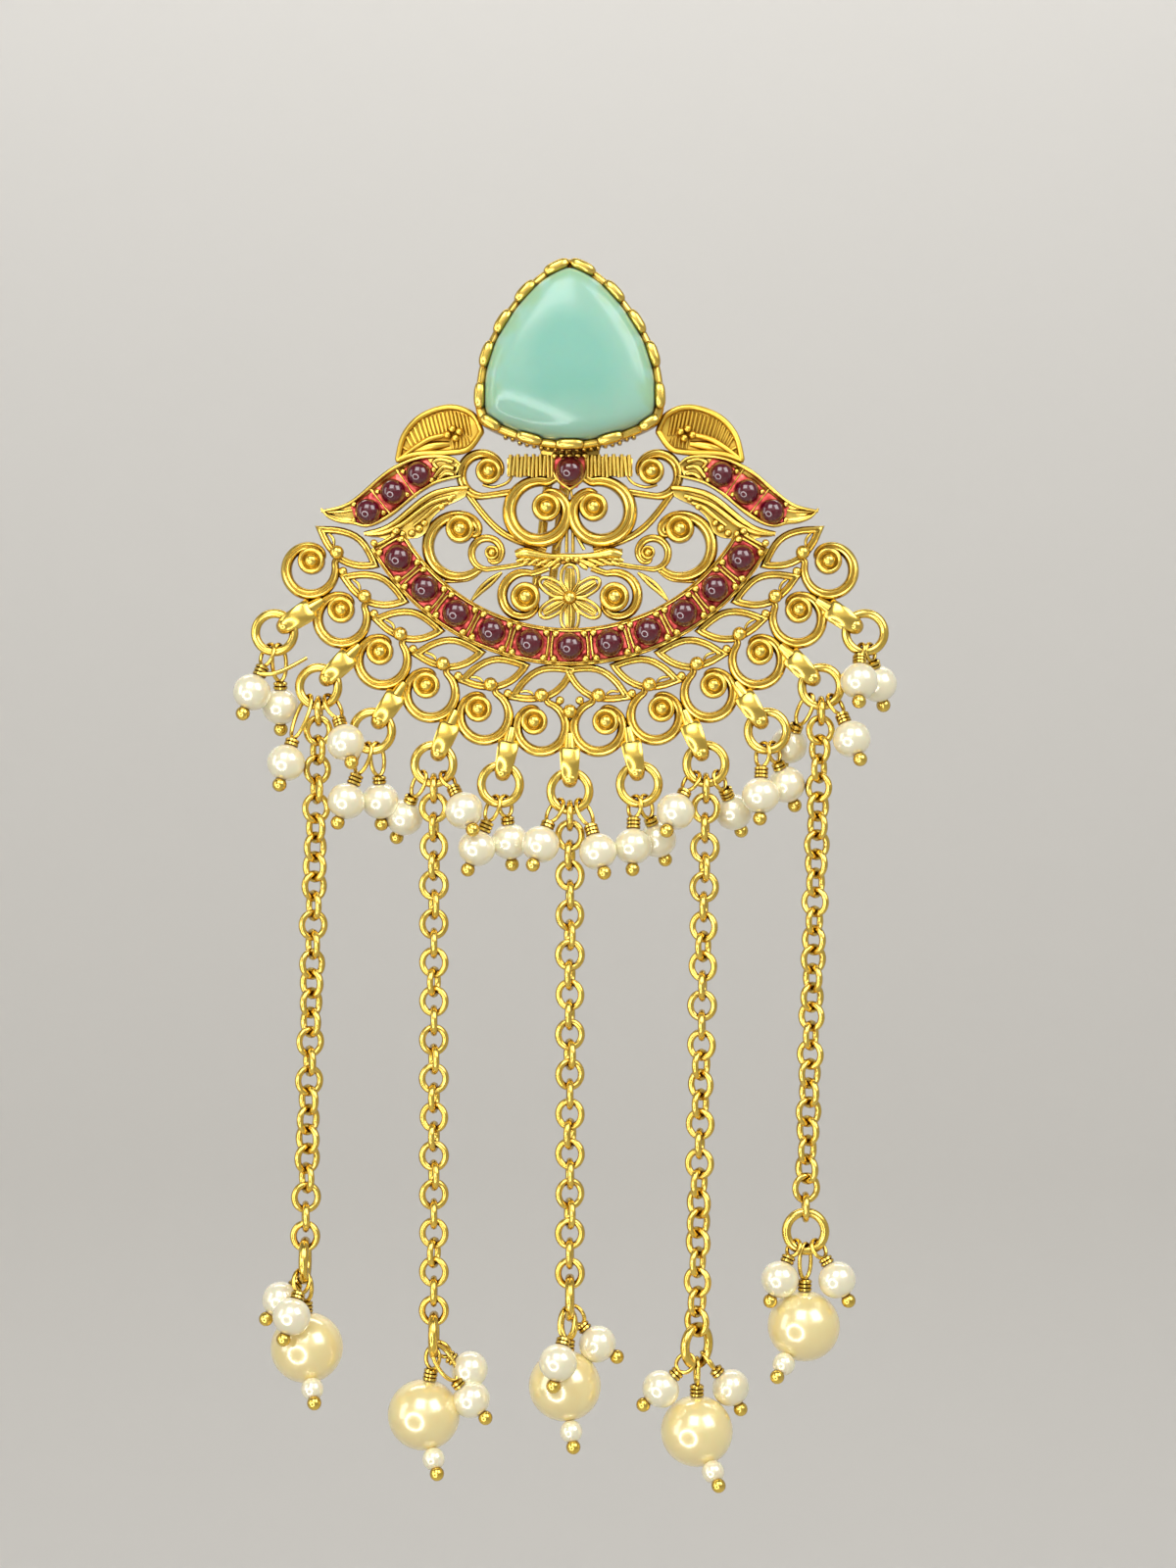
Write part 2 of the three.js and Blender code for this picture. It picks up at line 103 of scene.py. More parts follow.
def antiqueGold(name, look):
    # gold-plated brass: brown patina and painted shade in the hollows, painted shade on the sides and on the
    # lower tiers; the raised front stays bright
    material, tree = newMaterial(name)
    spot = addNode(tree, "ShaderNodeTexCoord")
    # brown patina and painted shade in the hollows and between parts, from ambient occlusion
    hidden = addNode(tree, "ShaderNodeAmbientOcclusion", {"samples": 6, "Distance": goldLook["hollow"] * mm})
    patinaAndShade = addNode(tree, "ShaderNodeMapRange", {"From Min": 0.25, "From Max": 0.8},
                    {"Value": hidden.outputs["AO"]})
    facing = addNode(tree, "ShaderNodeSeparateXYZ", {}, {"Vector": spot.outputs["Normal"]})
    flat = addNode(tree, "ShaderNodeMath", {"operation": "ABSOLUTE"}, {0: facing.outputs["Y"]})
    # painted shade: parts turned sideways, away from front and back, go towards the deep brown
    sideShade = addNode(tree, "ShaderNodeMapRange",
                   {"From Min": goldLook["turnedAway"], "From Max": goldLook["facing"],
                    "To Min": look["sides"]},
                   {"Value": flat.outputs["Value"]})
    cloud = addNode(tree, "ShaderNodeTexNoise", {"Scale": 1 / (goldLook["cloud"] * mm), "Detail": 3.0},
                    {"Vector": spot.outputs["Object"]})
    grain = addNode(tree, "ShaderNodeTexNoise", {"Scale": 1 / (goldLook["grain"] * mm), "Detail": 2.0},
                    {"Vector": spot.outputs["Object"]})
    level = addNode(tree, "ShaderNodeMath", {"operation": "MULTIPLY"},
                    {0: patinaAndShade.outputs["Result"], 1: sideShade.outputs["Result"]})
    if look["tierShade"]:  # painted shade: the lower tiers of the casting, further back, are darker
        apart = addNode(tree, "ShaderNodeSeparateXYZ", {}, {"Vector": spot.outputs["Object"]})
        height = addNode(tree, "ShaderNodeMapRange",
                         {"From Min": goldLook["floor"] * mm, "From Max": goldLook["crest"] * mm,
                          "To Min": 0.5},
                         {"Value": apart.outputs["Y"]})
        level = addNode(tree, "ShaderNodeMath", {"operation": "MULTIPLY"},
                        {0: level.outputs["Value"], 1: height.outputs["Result"]})
    bright = addNode(tree, "ShaderNodeMixRGB",
                     {"Color1": linear(look["light"]), "Color2": linear(goldLook["pale"])},
                     {"Fac": cloud.outputs["Fac"]})
    colour = addNode(tree, "ShaderNodeMixRGB", {"Color1": linear(look["deep"])},
                     {"Fac": level.outputs["Value"], "Color2": bright.outputs["Color"]})
    smooth, dull = look["rough"]
    rough = addNode(tree, "ShaderNodeMapRange", {"To Min": smooth, "To Max": dull},
                    {"Value": cloud.outputs["Fac"]})
    bump = addNode(tree, "ShaderNodeBump",
                   {"Strength": look["bump"], "Distance": goldLook["grainDepth"] * mm},
                   {"Height": grain.outputs["Fac"]})
    shader = addNode(tree, "ShaderNodeBsdfPrincipled", {"Metallic": 1.0},
                     {"Base Color": colour.outputs["Color"], "Roughness": rough.outputs["Result"],
                      "Normal": bump.outputs["Normal"]})
    addNode(tree, "ShaderNodeOutputMaterial", {}, {"Surface": shader.outputs["BSDF"]})
    return material


# Stones: heart is the crown's colour, edge the girdle's, where it is painted lighter as a glow of light
# through the thin glass, and turn is where one goes over to the other.
# Milk is how cloudy the glass is, and reach how far light strays in it, in millimetres. Claws is the colour
# of the scallops' painted reflection.
stoneLooks = {
    "ruby": {"heart": "#5c021c", "edge": "#c0142e", "turn": 0.84, "roughness": 0.05, "ior": 1.62,
             "coat": 0.44, "milk": 0.0, "reach": 0.5, "cloud": 4},
    "mint": {"heart": "#92cebc", "edge": "#b0dac4", "turn": 0.45, "roughness": 0.12, "ior": 1.4,
             "coat": 0.0, "milk": 0.35, "reach": 2, "cloud": 4, "claws": "#a6d2ad"},
}


def cabochonGlass(name, look):
    # polished glass over foil: the edge attribute runs from 0 at the crown to 1 at the girdle, and the girdle
    # is painted lighter, a painted glow
    material, tree = newMaterial(name)
    spot = addNode(tree, "ShaderNodeTexCoord")
    across = addNode(tree, "ShaderNodeAttribute", {"attribute_name": "edge"})
    cloud = addNode(tree, "ShaderNodeTexNoise", {"Scale": 1 / (look["cloud"] * mm), "Detail": 2.0},
                    {"Vector": spot.outputs["Object"]})
    drift = addNode(tree, "ShaderNodeMath", {"operation": "MULTIPLY_ADD", 1: 0.3, 2: -0.15},
                    {0: cloud.outputs["Fac"]})
    mixed = addNode(tree, "ShaderNodeMath", {"operation": "ADD"},
                    {0: across.outputs["Fac"], 1: drift.outputs["Value"]})
    spread = addNode(tree, "ShaderNodeMapRange", {"From Min": look["turn"], "From Max": 1.08},
                     {"Value": mixed.outputs["Value"]})
    colour = addNode(tree, "ShaderNodeMixRGB",
                     {"Color1": linear(look["heart"]), "Color2": linear(look["edge"])},
                     {"Fac": spread.outputs["Result"]})
    if "claws" in look:  # painted reflection: the gold of the bezel's scallops, painted on the stone beside them
        scallopReflection = addNode(tree, "ShaderNodeAttribute", {"attribute_name": "claw"})
        colour = addNode(tree, "ShaderNodeMixRGB", {"Color2": linear(look["claws"])},
                         {"Fac": scallopReflection.outputs["Fac"], "Color1": colour.outputs["Color"]})
    shader = addNode(tree, "ShaderNodeBsdfPrincipled",
                     {"Roughness": look["roughness"], "IOR": look["ior"],
                      "Coat Weight": look["coat"], "Coat Roughness": 0.05,
                      "Subsurface Weight": look["milk"], "Subsurface Scale": look["reach"] * mm},
                     {"Base Color": colour.outputs["Color"]})
    addNode(tree, "ShaderNodeOutputMaterial", {}, {"Surface": shader.outputs["BSDF"]})
    return material


pearlLook = {"ior": 1.6, "lustre": 0.16, "coatIor": 1.85, "coatRoughness": 0.14, "milk": 0.15, "reach": 0.8,
             "cloud": 3}
pearlTones = {
    "white": {"bright": "#fffae0", "warm": "#fdf3ca", "roughness": 0.26},
    "champagne": {"bright": "#fff0b0", "warm": "#fce29a", "roughness": 0.27},
}


def pearlLacquer(name, tone):
    # glass bead under nacre lacquer: soft lustre with faint warm clouds, and a glossier top coat
    material, tree = newMaterial(name)
    spot = addNode(tree, "ShaderNodeTexCoord")
    look = pearlLook
    cloud = addNode(tree, "ShaderNodeTexNoise", {"Scale": 1 / (look["cloud"] * mm), "Detail": 3.0},
                    {"Vector": spot.outputs["Object"]})
    colour = addNode(tree, "ShaderNodeMixRGB",
                     {"Color1": linear(tone["bright"]), "Color2": linear(tone["warm"])},
                     {"Fac": cloud.outputs["Fac"]})
    shader = addNode(tree, "ShaderNodeBsdfPrincipled",
                     {"Roughness": tone["roughness"], "IOR": look["ior"], "Metallic": look["lustre"],
                      "Coat Weight": 1.0, "Coat IOR": look["coatIor"],
                      "Coat Roughness": look["coatRoughness"],
                      "Subsurface Weight": look["milk"], "Subsurface Scale": look["reach"] * mm},
                     {"Base Color": colour.outputs["Color"]})
    addNode(tree, "ShaderNodeOutputMaterial", {}, {"Surface": shader.outputs["BSDF"]})
    return material


foilLook = {"shade": "#9c0c2a", "glint": "#ff7464", "crease": 0.7, "creaseDepth": 0.2}


def pinkFoil():
    # crumpled reflective foil in the stone seats: creases 0.7 mm apart, with painted shade and painted glints
    # along them
    material, tree = newMaterial("pinkFoilCrumpled")
    spot = addNode(tree, "ShaderNodeTexCoord")
    creases = addNode(tree, "ShaderNodeTexVoronoi", {"Scale": 1 / (foilLook["crease"] * mm)},
                      {"Vector": spot.outputs["Object"]})
    colour = addNode(tree, "ShaderNodeMixRGB",
                     {"Color1": linear(foilLook["shade"]), "Color2": linear(foilLook["glint"])},
                     {"Fac": creases.outputs["Distance"]})
    bump = addNode(tree, "ShaderNodeBump", {"Strength": 0.7, "Distance": foilLook["creaseDepth"] * mm},
                   {"Height": creases.outputs["Distance"]})
    shader = addNode(tree, "ShaderNodeBsdfPrincipled", {"Metallic": 0.7, "Roughness": 0.35},
                     {"Base Color": colour.outputs["Color"], "Normal": bump.outputs["Normal"]})
    addNode(tree, "ShaderNodeOutputMaterial", {}, {"Surface": shader.outputs["BSDF"]})
    return material


castGold = antiqueGold("brassCastGoldPlated", goldFinishes["cast"])
satinGold = antiqueGold("brassSatinGoldPlated", goldFinishes["satin"])
wireGold = antiqueGold("brassWireGoldPlated", goldFinishes["wire"])
rubyGlass = cabochonGlass("rubyGlassFoiled", stoneLooks["ruby"])
mintGlass = cabochonGlass("mintGlassMilky", stoneLooks["mint"])
whitePearl = pearlLacquer("pearlLacquerWhite", pearlTones["white"])
champagnePearl = pearlLacquer("pearlLacquerChampagne", pearlTones["champagne"])
foil = pinkFoil()
print("materials ready")


# Turns a millimetre bmesh into a finished piece at the origin.
def addPiece(name, bm, materials, nodes, sharp=50, levels=0):
    bmesh.ops.remove_doubles(bm, verts=bm.verts, dist=0.0005)
    bmesh.ops.recalc_face_normals(bm, faces=bm.faces)
    bmesh.ops.translate(bm, vec=plateShift, verts=bm.verts)
    bmesh.ops.scale(bm, vec=(mm, mm, mm), verts=bm.verts)
    mesh = bpy.data.meshes.new(name)
    bm.to_mesh(mesh)
    bm.free()
    mesh.shade_smooth()
    mesh.set_sharp_from_angle(angle=math.radians(sharp))
    for material in materials:
        mesh.materials.append(material)
    piece = bpy.data.objects.new(name, mesh)
    scene.collection.objects.link(piece)
    if levels:
        soft = piece.modifiers.new("soft", "SUBSURF")
        soft.levels = soft.render_levels = levels
    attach(piece, "root")
    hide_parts(*nodes)
    return piece


def circlePoints(count, across=0.5, up=0.5):
    turns = [math.tau * i / count for i in range(count)]
    return [(across * math.cos(turn), up * math.sin(turn)) for turn in turns]


# Sections for swept wires: x across, y towards the front, for a wire one unit wide.
halfRidge = [(0.03, 0.3), (0.12, 0.42), (0.25, 0.46), (0.38, 0.36), (0.46, 0.18), (0.5, -0.05), (0.48, -0.45)]
doubleRidge = [(-x, y) for x, y in reversed(halfRidge)] + halfRidge
singleRidge = [(-0.5, -0.6), (-0.5, 0.1), (-0.36, 0.42), (-0.12, 0.6),
               (0.12, 0.6), (0.36, 0.42), (0.5, 0.1), (0.5, -0.6)]
flatStrap = [(-0.5, -0.06), (-0.5, 0.05), (-0.48, 0.07), (0.48, 0.07), (0.5, 0.05), (0.5, -0.06)]
roundWire = circlePoints(8)


def curveObject(name, dimensions="2D"):
    curve = bpy.data.curves.new(name, "CURVE")
    curve.dimensions = dimensions
    thing = bpy.data.objects.new(name, curve)
    scene.collection.objects.link(thing)
    return curve, thing


# Sweeps a section along flat lines of (x, z, width) and lays the result in the plate.
def sweepFlat(bm, lines, section, y=0.0, closed=False, material=0):
    outline, outlineThing = curveObject("section")
    spline = outline.splines.new("POLY")
    spline.points.add(len(section) - 1)
    for point, (x, h) in zip(spline.points, section):
        point.co = (x, h, 0, 1)
    spline.use_cyclic_u = True
    route, routeThing = curveObject("route")
    route.fill_mode = "NONE"
    route.bevel_mode = "OBJECT"
    route.bevel_object = outlineThing
    route.use_fill_caps = True
    route.resolution_u = 3
    for line in lines:
        spline = route.splines.new("NURBS")
        spline.points.add(len(line) - 1)
        for point, (x, z, width) in zip(spline.points, line):
            point.co = (x, z, 0, 1)
            point.radius = width
        spline.order_u = 3
        spline.use_endpoint_u = not closed
        spline.use_cyclic_u = closed
    upright = Matrix.Translation((0, y, 0)) @ Matrix.Rotation(math.pi / 2, 4, "X")
    takeCurve(bm, [routeThing, outlineThing], upright, material)


# A round wire along points in space, with a radius at each point.
def sweepRound(bm, rows, sides=3):
    curve, thing = curveObject("wire", "3D")
    curve.bevel_depth = 1.0
    curve.bevel_resolution = sides
    curve.use_fill_caps = True
    curve.resolution_u = 4
    spline = curve.splines.new("NURBS")
    spline.points.add(len(rows) - 1)
    for point, (x, y, z, radius) in zip(spline.points, rows):
        point.co = (x, y, z, 1)
        point.radius = radius
    spline.order_u = 3
    spline.use_endpoint_u = True
    takeCurve(bm, [thing], Matrix.Identity(4))


def takeCurve(bm, things, matrix, material=0):
    shown = things[0].evaluated_get(bpy.context.evaluated_depsgraph_get())
    mesh = bpy.data.meshes.new_from_object(shown)
    for thing in things:
        curve = thing.data
        bpy.data.objects.remove(thing)
        bpy.data.curves.remove(curve)
    stamp(bm, mesh, matrix, material)
    bpy.data.meshes.remove(mesh)


# Copies a mesh into a bmesh at a place given by a matrix.
def stamp(bm, mesh, matrix, material=0):
    vertsBefore, facesBefore = len(bm.verts), len(bm.faces)
    bm.from_mesh(mesh)
    bm.verts.ensure_lookup_table()
    bm.faces.ensure_lookup_table()
    bmesh.ops.transform(bm, matrix=matrix, verts=bm.verts[vertsBefore:])
    for face in bm.faces[facesBefore:]:
        face.material_index = material


def asTemplate(name, bm):
    mesh = bpy.data.meshes.new(name)
    bm.to_mesh(mesh)
    bm.free()
    return mesh


# Turns a profile of (radius, y) about the y axis into a closed template mesh.
def turned(name, profile, steps=28):
    bm = bmesh.new()
    verts = [bm.verts.new((r, y, 0)) for r, y in profile]
    edges = [bm.edges.new(pair) for pair in zip(verts, verts[1:])]
    bmesh.ops.spin(bm, geom=verts + edges, cent=(0, 0, 0), axis=(0, 1, 0), angle=math.tau, steps=steps,
                   use_merge=True)
    bmesh.ops.remove_doubles(bm, verts=bm.verts, dist=0.0005)
    bmesh.ops.recalc_face_normals(bm, faces=bm.faces)
    return asTemplate(name, bm)


def ringTemplate(name, radius, wire, steps=40, sides=10):
    bm = bmesh.new()
    start = Matrix.Translation((radius, 0, 0))
    made = bmesh.ops.create_circle(bm, segments=sides, radius=wire, matrix=start)["verts"]
    edges = list({edge for vert in made for edge in vert.link_edges})
    bmesh.ops.spin(bm, geom=made + edges, cent=(0, 0, 0), axis=(0, 1, 0), angle=math.tau, steps=steps,
                   use_merge=True)
    bmesh.ops.recalc_face_normals(bm, faces=bm.faces)
    return asTemplate(name, bm)


def ballTemplate(name, across=16, up=10):
    bm = bmesh.new()
    bmesh.ops.create_uvsphere(bm, u_segments=across, v_segments=up, radius=1)
    return asTemplate(name, bm)


def place(x, y, z, size=1.0):
    return Matrix.Translation((x, y, z)) @ Matrix.Scale(size, 4)


def smoothLine(rows, count, closed=False):
    # even points along a smooth line through the rows
    total = len(rows)
    spans = total if closed else total - 1
    points = []
    for i in range(count if closed else count + 1):
        along = i / count * spans
        first = min(int(along), spans - 1)
        t = along - first
        near = [first + step for step in (-1, 0, 1, 2)]
        pick = [rows[k % total] if closed else rows[min(max(k, 0), total - 1)] for k in near]
        points.append(tuple(0.5 * (2 * b + (c - a) * t + (2 * a - 5 * b + 4 * c - d) * t * t
                                   + (3 * b - a - 3 * c + d) * t ** 3) for a, b, c, d in zip(*pick)))
    return points


# Widths along a line: the full width in the middle, and that share of it at the ends.
def withWidth(points, width, ends=1.0):
    last = len(points) - 1
    swell = [ends + (1 - ends) * math.sin(math.pi * i / last) for i in range(last + 1)]
    return [(p[0], p[1], width * s) for p, s in zip(points, swell)]


def smoothStrand(rows, count, width, ends=1.0):
    return withWidth(smoothLine(rows, count), width, ends)


def mirrored(line, side):
    return [(x * side, z, width) for x, z, width in line]


def onFan(angle, radius):
    turn = math.radians(angle)
    return radius * math.sin(turn), fanHeight - radius * math.cos(turn)


# A point drawn beside its unit's own centre, turned with the unit and put in its place.
def laidOut(centre, angle, side, x, z, width=1.0):
    turn = math.radians(angle)
    across = x * math.cos(turn) - z * math.sin(turn)
    up = x * math.sin(turn) + z * math.cos(turn)
    return (centre[0] + across) * side, centre[1] + up, width


smallBall = ballTemplate("smallBall", 14, 8)
bodyNodes = ["filigree_body"]

# Scrolls: a loop that winds in to a domed button. Start and turn are degrees, and lead is where the
# wire comes from.
scrollTable = {
    "centre": {"loop": (3.3, 9.5), "radius": 3.4, "button": (2.6, 10), "size": 1.6,
               "start": 108, "turn": -385, "width": 1.55, "lead": [(1.3, 13.6)]},
    "top": {"loop": (9.6, 13.6), "radius": 2.4, "button": (8.95, 13.95), "size": 1.45,
            "start": -95, "turn": 290, "width": 1.15, "lead": [(5.6, 11.8), (7.4, 11.5)]},
    "side": {"loop": (12.3, 5.7), "radius": 3.4, "button": (12.1, 7.6), "size": 1.6,
             "start": -130, "turn": 335, "width": 1.3, "lead": []},
    "hook": {"loop": (9.1, 4.9), "radius": 1.75, "button": (8.6, 5), "size": 0.8,
             "start": -105, "turn": 400, "width": 0.85, "lead": [(2.2, 3.6), (4.2, 4.0), (6.3, 3.5)]},
    "low": {"loop": (4.9, 0.2), "radius": 2.6, "button": (4.9, 0.1), "size": 1.65,
            "start": 110, "turn": -260, "width": 1.1, "lead": [(2.4, 3.3)]},
}
outerScroll = {"loop": (-0.3, -3.5), "radius": 2.8, "button": (0.48, -2.95), "size": 1.5,
               "start": 100, "turn": 360, "width": 1.16, "lead": [(0.2, 0.1), (-0.6, -0.3)]}
buttonTable = {"radius": 1.5, "rim": 0.82}  # rim: where a loop ends, as a share of its button's radius


def scrollLine(row, steps=30):
    line = [(x, z, row["width"] * 0.75) for x, z in row["lead"]]
    for i in range(steps + 1):
        wound = (i / steps) ** 4
        angle = math.radians(row["start"] + row["turn"] * i / steps)
        radius = row["radius"] + (row["size"] * buttonTable["rim"] - row["radius"]) * wound
        cx, cz = [a + (b - a) * wound for a, b in zip(row["loop"], row["button"])]
        width = row["width"] * (0.68 + 0.4 * math.sin(math.pi * (i / steps) ** 0.8))
        line.append((cx + radius * math.cos(angle), cz + radius * math.sin(angle), width))
    return line


button = turned("button", [(0, -1.34), (0.2, -1.32), (0.4, -1.24), (0.58, -1.08), (0.7, -0.88),
                           (0.76, -0.7), (0.86, -0.66), (0.95, -0.76), (1.06, -0.9), (1.2, -0.96),
                           (1.34, -0.9), (1.46, -0.7), (1.52, -0.4), (1.52, 0.35), (0, 0.35)])


def buildScrolls():
    bm = bmesh.new()
    lines = [mirrored(scrollLine(row), side) for row in scrollTable.values() for side in (-1, 1)]
    sweepFlat(bm, lines, doubleRidge, -0.1)
    for row in scrollTable.values():
        x, z = row["button"]
        for side in (-1, 1):
            stamp(bm, button, place(x * side, 0, z, row["size"] / buttonTable["radius"]))
    addPiece("centreScrolls", bm, [castGold], bodyNodes)


buildScrolls()
print("centre scrolls done")

# Straps, leaf borders, bars and small strokes that hold the centre together.
centreTable = {"strapWidth": 0.85, "flutes": 12, "firstFlute": 1.95, "flutePitch": 0.42,
               "barHeight": (13.3, 15.65)}


def buildCentre():
    bm = bmesh.new()
    double, single = [], []
    for side in (-1, 1):
        strap = smoothStrand([(11.4, 11.7), (9.6, 9.3), (8, 7.6), (6, 6.4), (2.6, 5.2)], 14,
                             centreTable["strapWidth"], 0.9)
        double.append(mirrored(strap, side))
        strands = [smoothStrand([(7.5, 2.8), (8.6, 1.9 + dz), (9.8, 0.9 + dz), (10.8, -0.3)], 10, 0.45, 0.7)
                   for dz in (0.28, -0.28)]
        strands.append(smoothStrand([(9.8, 3), (11.2, 2), (13.8, 1.8)], 8, 0.4))
        strands.append(smoothStrand([(6.3, 13.6), (6.9, 12.7), (8.4, 12.2), (9.6, 12.5)], 10, 0.35))
        strands.append(withWidth([(0.1, 12), (0.25, 11), (0.4, 10.2)], 0.3))
        # small twigs that fill the gaps under the big scrolls
        strands.append(smoothStrand([(0.3, 8), (0.9, 6.6), (1.6, 5.3)], 6, 0.4))
        strands.append(smoothStrand([(5.6, 5.4), (5.5, 4.6), (4.9, 3.9)], 6, 0.45))
        single += [mirrored(strand, side) for strand in strands]
    sweepFlat(bm, double, doubleRidge, -0.05)
    sweepFlat(bm, single, singleRidge, -0.1)
    addFlutedBars(bm)
    addCrossBar(bm)
    # the post behind the flower, two strands
    sweepFlat(bm, [[(x, 7.6, 0.4), (x, 5, 0.4)] for x in (-0.35, 0.35)], singleRidge, -0.05)
    # pointed cup round the centre ruby
    halfCup = [(0, 12.0), (1.55, 13.1), (1.95, 14.3), (1.8, 15.3)]
    cup = [(-x, z) for x, z in reversed(halfCup)] + halfCup
    sweepFlat(bm, [withWidth(cup, 0.5)], singleRidge, -0.4)
    lining = [(0, 12.1, 1.6), (0, 13.2, 3.2), (0, 14.4, 3.6), (0, 15.5, 3.2)]
    sweepFlat(bm, [lining], flatStrap, -0.3, material=1)
    for x in (-1.65, -0.85, 0, 0.85, 1.65):
        stamp(bm, smallBall, place(x, -0.9, 15.6, 0.36))
    addPiece("centreBarsAndStraps", bm, [castGold, foil], bodyNodes)


def addFlutedBars(bm):
    # upright flutes, a little uneven as hand work is, on a strap with two rails
    low, high = centreTable["barHeight"]
    flutes, straps, rails = [], [], []
    for side in (-1, 1):
        for i in range(centreTable["flutes"]):
            x = centreTable["firstFlute"] + i * centreTable["flutePitch"]
            lean = 0.05 * math.sin(i * 2.3) - 0.008 * i
            foot, head = low - 0.1 * math.sin(i * 1.7), high + 0.14 * math.sin(i * 2.9)
            flute = [(x - lean, foot, 0.42), (x, (low + high) / 2, 0.5), (x + lean, head, 0.44)]
            flutes.append(mirrored(flute, side))
        straps.append(mirrored([(1.4, 14.45, 2.0), (4, 14.45, 2.1), (6.9, 14.5, 1.8)], side))
        rails += [mirrored([(1.3, z, 0.45), (6.9, z, 0.45)], side) for z in (13.6, 15.2)]
    sweepFlat(bm, flutes, singleRidge, -0.5)
    sweepFlat(bm, straps, flatStrap, -0.35)
    sweepFlat(bm, rails, singleRidge, 0.1)


def addCrossBar(bm):
    # a bright rail above two sprays of leaf strokes
    rail = [(-6.0, 4.8, 0.8), (-5.2, 5.0, 1.35), (-4.0, 4.8, 1.1), (-2.2, 4.5, 0.7), (0, 4.6, 0.5),
            (2.2, 4.55, 0.7), (3.8, 4.8, 1.1), (4.9, 5.0, 1.35), (5.7, 4.7, 0.8)]
    sweepFlat(bm, [rail], singleRidge, -0.45)
    strokes = ((0.9, 4.3, 1.5, -0.9), (1.7, 4.5, 1.6, -0.8), (2.6, 4.55, 1.6, -0.6), (3.5, 4.6, 1.6, -0.5),
               (4.4, 4.5, 1.5, -0.45))
    sprays = []
    for side in (-1, 1):
        for x, z, dx, dz in strokes:
            upper = [(x, z, 0.5), (x + dx * 0.5, z + dz * 0.3, 0.85), (x + dx, z + dz, 0.4)]
            lower = [(x + 0.2, z - 0.5, 0.45), (x + dx * 0.4, z - 0.6 + dz * 0.3, 0.7),
                     (x + dx * 0.7, z - 0.7 + dz * 0.5, 0.35)]
            sprays += [mirrored(upper, side), mirrored(lower, side)]
    sweepFlat(bm, sprays, singleRidge, -0.25)
    sweepFlat(bm, [[(-5.4, 4.3, 1.2), (0, 4.35, 1.3), (5.4, 4.3, 1.2)]], flatStrap, 0.2)
    for i, x in enumerate((-1.3, -0.75, -0.25, 0.25, 0.75, 1.3)):
        stamp(bm, smallBall, place(x, -0.45, 4.2 + 0.25 * (i % 2), 0.36))


buildCentre()

flowerTable = {"long": 3.7, "short": 3.8, "angles": (90, 270, 31, 149, 211, 329), "width": 1.85, "slim": 0.84}


def buildFlower():
    bm = bmesh.new()
    for angle in flowerTable["angles"]:
        upright = angle in (90, 270)
        reach = flowerTable["long"] if upright else flowerTable["short"]
        wide = flowerTable["width"] * (1 if upright else flowerTable["slim"])
        spun = partial(laidOut, (0, 0), angle, 1)
        rim = [(0.5, 0.25), (1.6, wide / 2), (reach - 0.6, wide / 2 - 0.1), (reach, 0),
               (reach - 0.6, 0.1 - wide / 2), (1.6, -wide / 2), (0.5, -0.25)]
        sweepFlat(bm, [[spun(x, z, 0.42) for x, z in smoothLine(rim, 20)]], singleRidge, -0.3)
        strands = [[spun(0.7, z * 0.3, 0.3), spun(reach * 0.55, z, 0.36), spun(reach - 0.45, z * 0.3, 0.28)]
                   for z in (-wide * 0.17, wide * 0.17)]
        sweepFlat(bm, strands, singleRidge, -0.22)
        floor = [spun(0.3, 0, wide * 0.5), spun(reach * 0.5, 0, wide * 0.9), spun(reach - 0.4, 0, wide * 0.5)]
        sweepFlat(bm, [floor], flatStrap, -0.2)
    stamp(bm, smallBall, place(0, -0.6, 0, 0.78))
    addPiece("sixPetalFlower", bm, [castGold], bodyNodes)


buildFlower()
print("centre of the plate done")

# Crescent band with eleven square stone cells.
crescentTable = {"inner": 21.05, "outer": 25.2, "half": 60.5, "stones": 23.1, "step": 10.9, "cells": 11,
                 "foil": 3.3, "wire": 0.5, "prong": 0.42}


def fanArc(radius, half, width, count=48):
    return [(*onFan(-half + 2 * half * i / count, radius), width) for i in range(count + 1)]


def buildCrescent():
    bm = bmesh.new()
    row = crescentTable
    inner, outer, half = row["inner"], row["outer"], row["half"]
    sweepFlat(bm, [fanArc((inner + outer) / 2, half, outer - inner)], flatStrap, 0.0)
    sweepFlat(bm, [fanArc(row["stones"], half - 0.6, row["foil"])], flatStrap, -0.55, material=1)
    sweepFlat(bm, [fanArc(inner + 0.25, half, row["wire"]), fanArc(outer - 0.25, half, row["wire"])],
              doubleRidge, -0.75)
    walls, seams = [], []
    corners = [(k - row["cells"] / 2) * row["step"] for k in range(row["cells"] + 1)]
    for angle in corners:
        for lean in (-0.6, 0.6):
            ends = angle + lean * 1.3
            waist = angle + lean * 0.45
            walls.append([(*onFan(ends, inner + 0.45), 0.42), (*onFan(waist, row["stones"]), 0.34),
                          (*onFan(ends, outer - 0.45), 0.42)])
        seams.append([(*onFan(angle, radius), 0.6) for radius in (inner + 0.3, row["stones"], outer - 0.3)])
    sweepFlat(bm, walls, singleRidge, -0.85)
    sweepFlat(bm, seams, flatStrap, -0.72)
    for angle in corners:  # four prongs at each corner of a cell
        for radius in (inner + 0.7, outer - 0.7):
            for lean in (-1.4, 1.4):
                x, z = onFan(angle + lean, radius)
                stamp(bm, smallBall, place(x, -1.15, z, row["prong"]))
    addPiece("crescentBand", bm, [castGold, foil], bodyNodes)


buildCrescent()
print("crescent done")

# Twelve outer units: open leaf, small ball, scroll with its button.
unitTable = {"circle": 28.6, "first": 6.3, "step": 11.45, "leafWire": 0.88, "centreBall": 0.8, "tipBall": 0.5,
             "lowBall": -12.5}


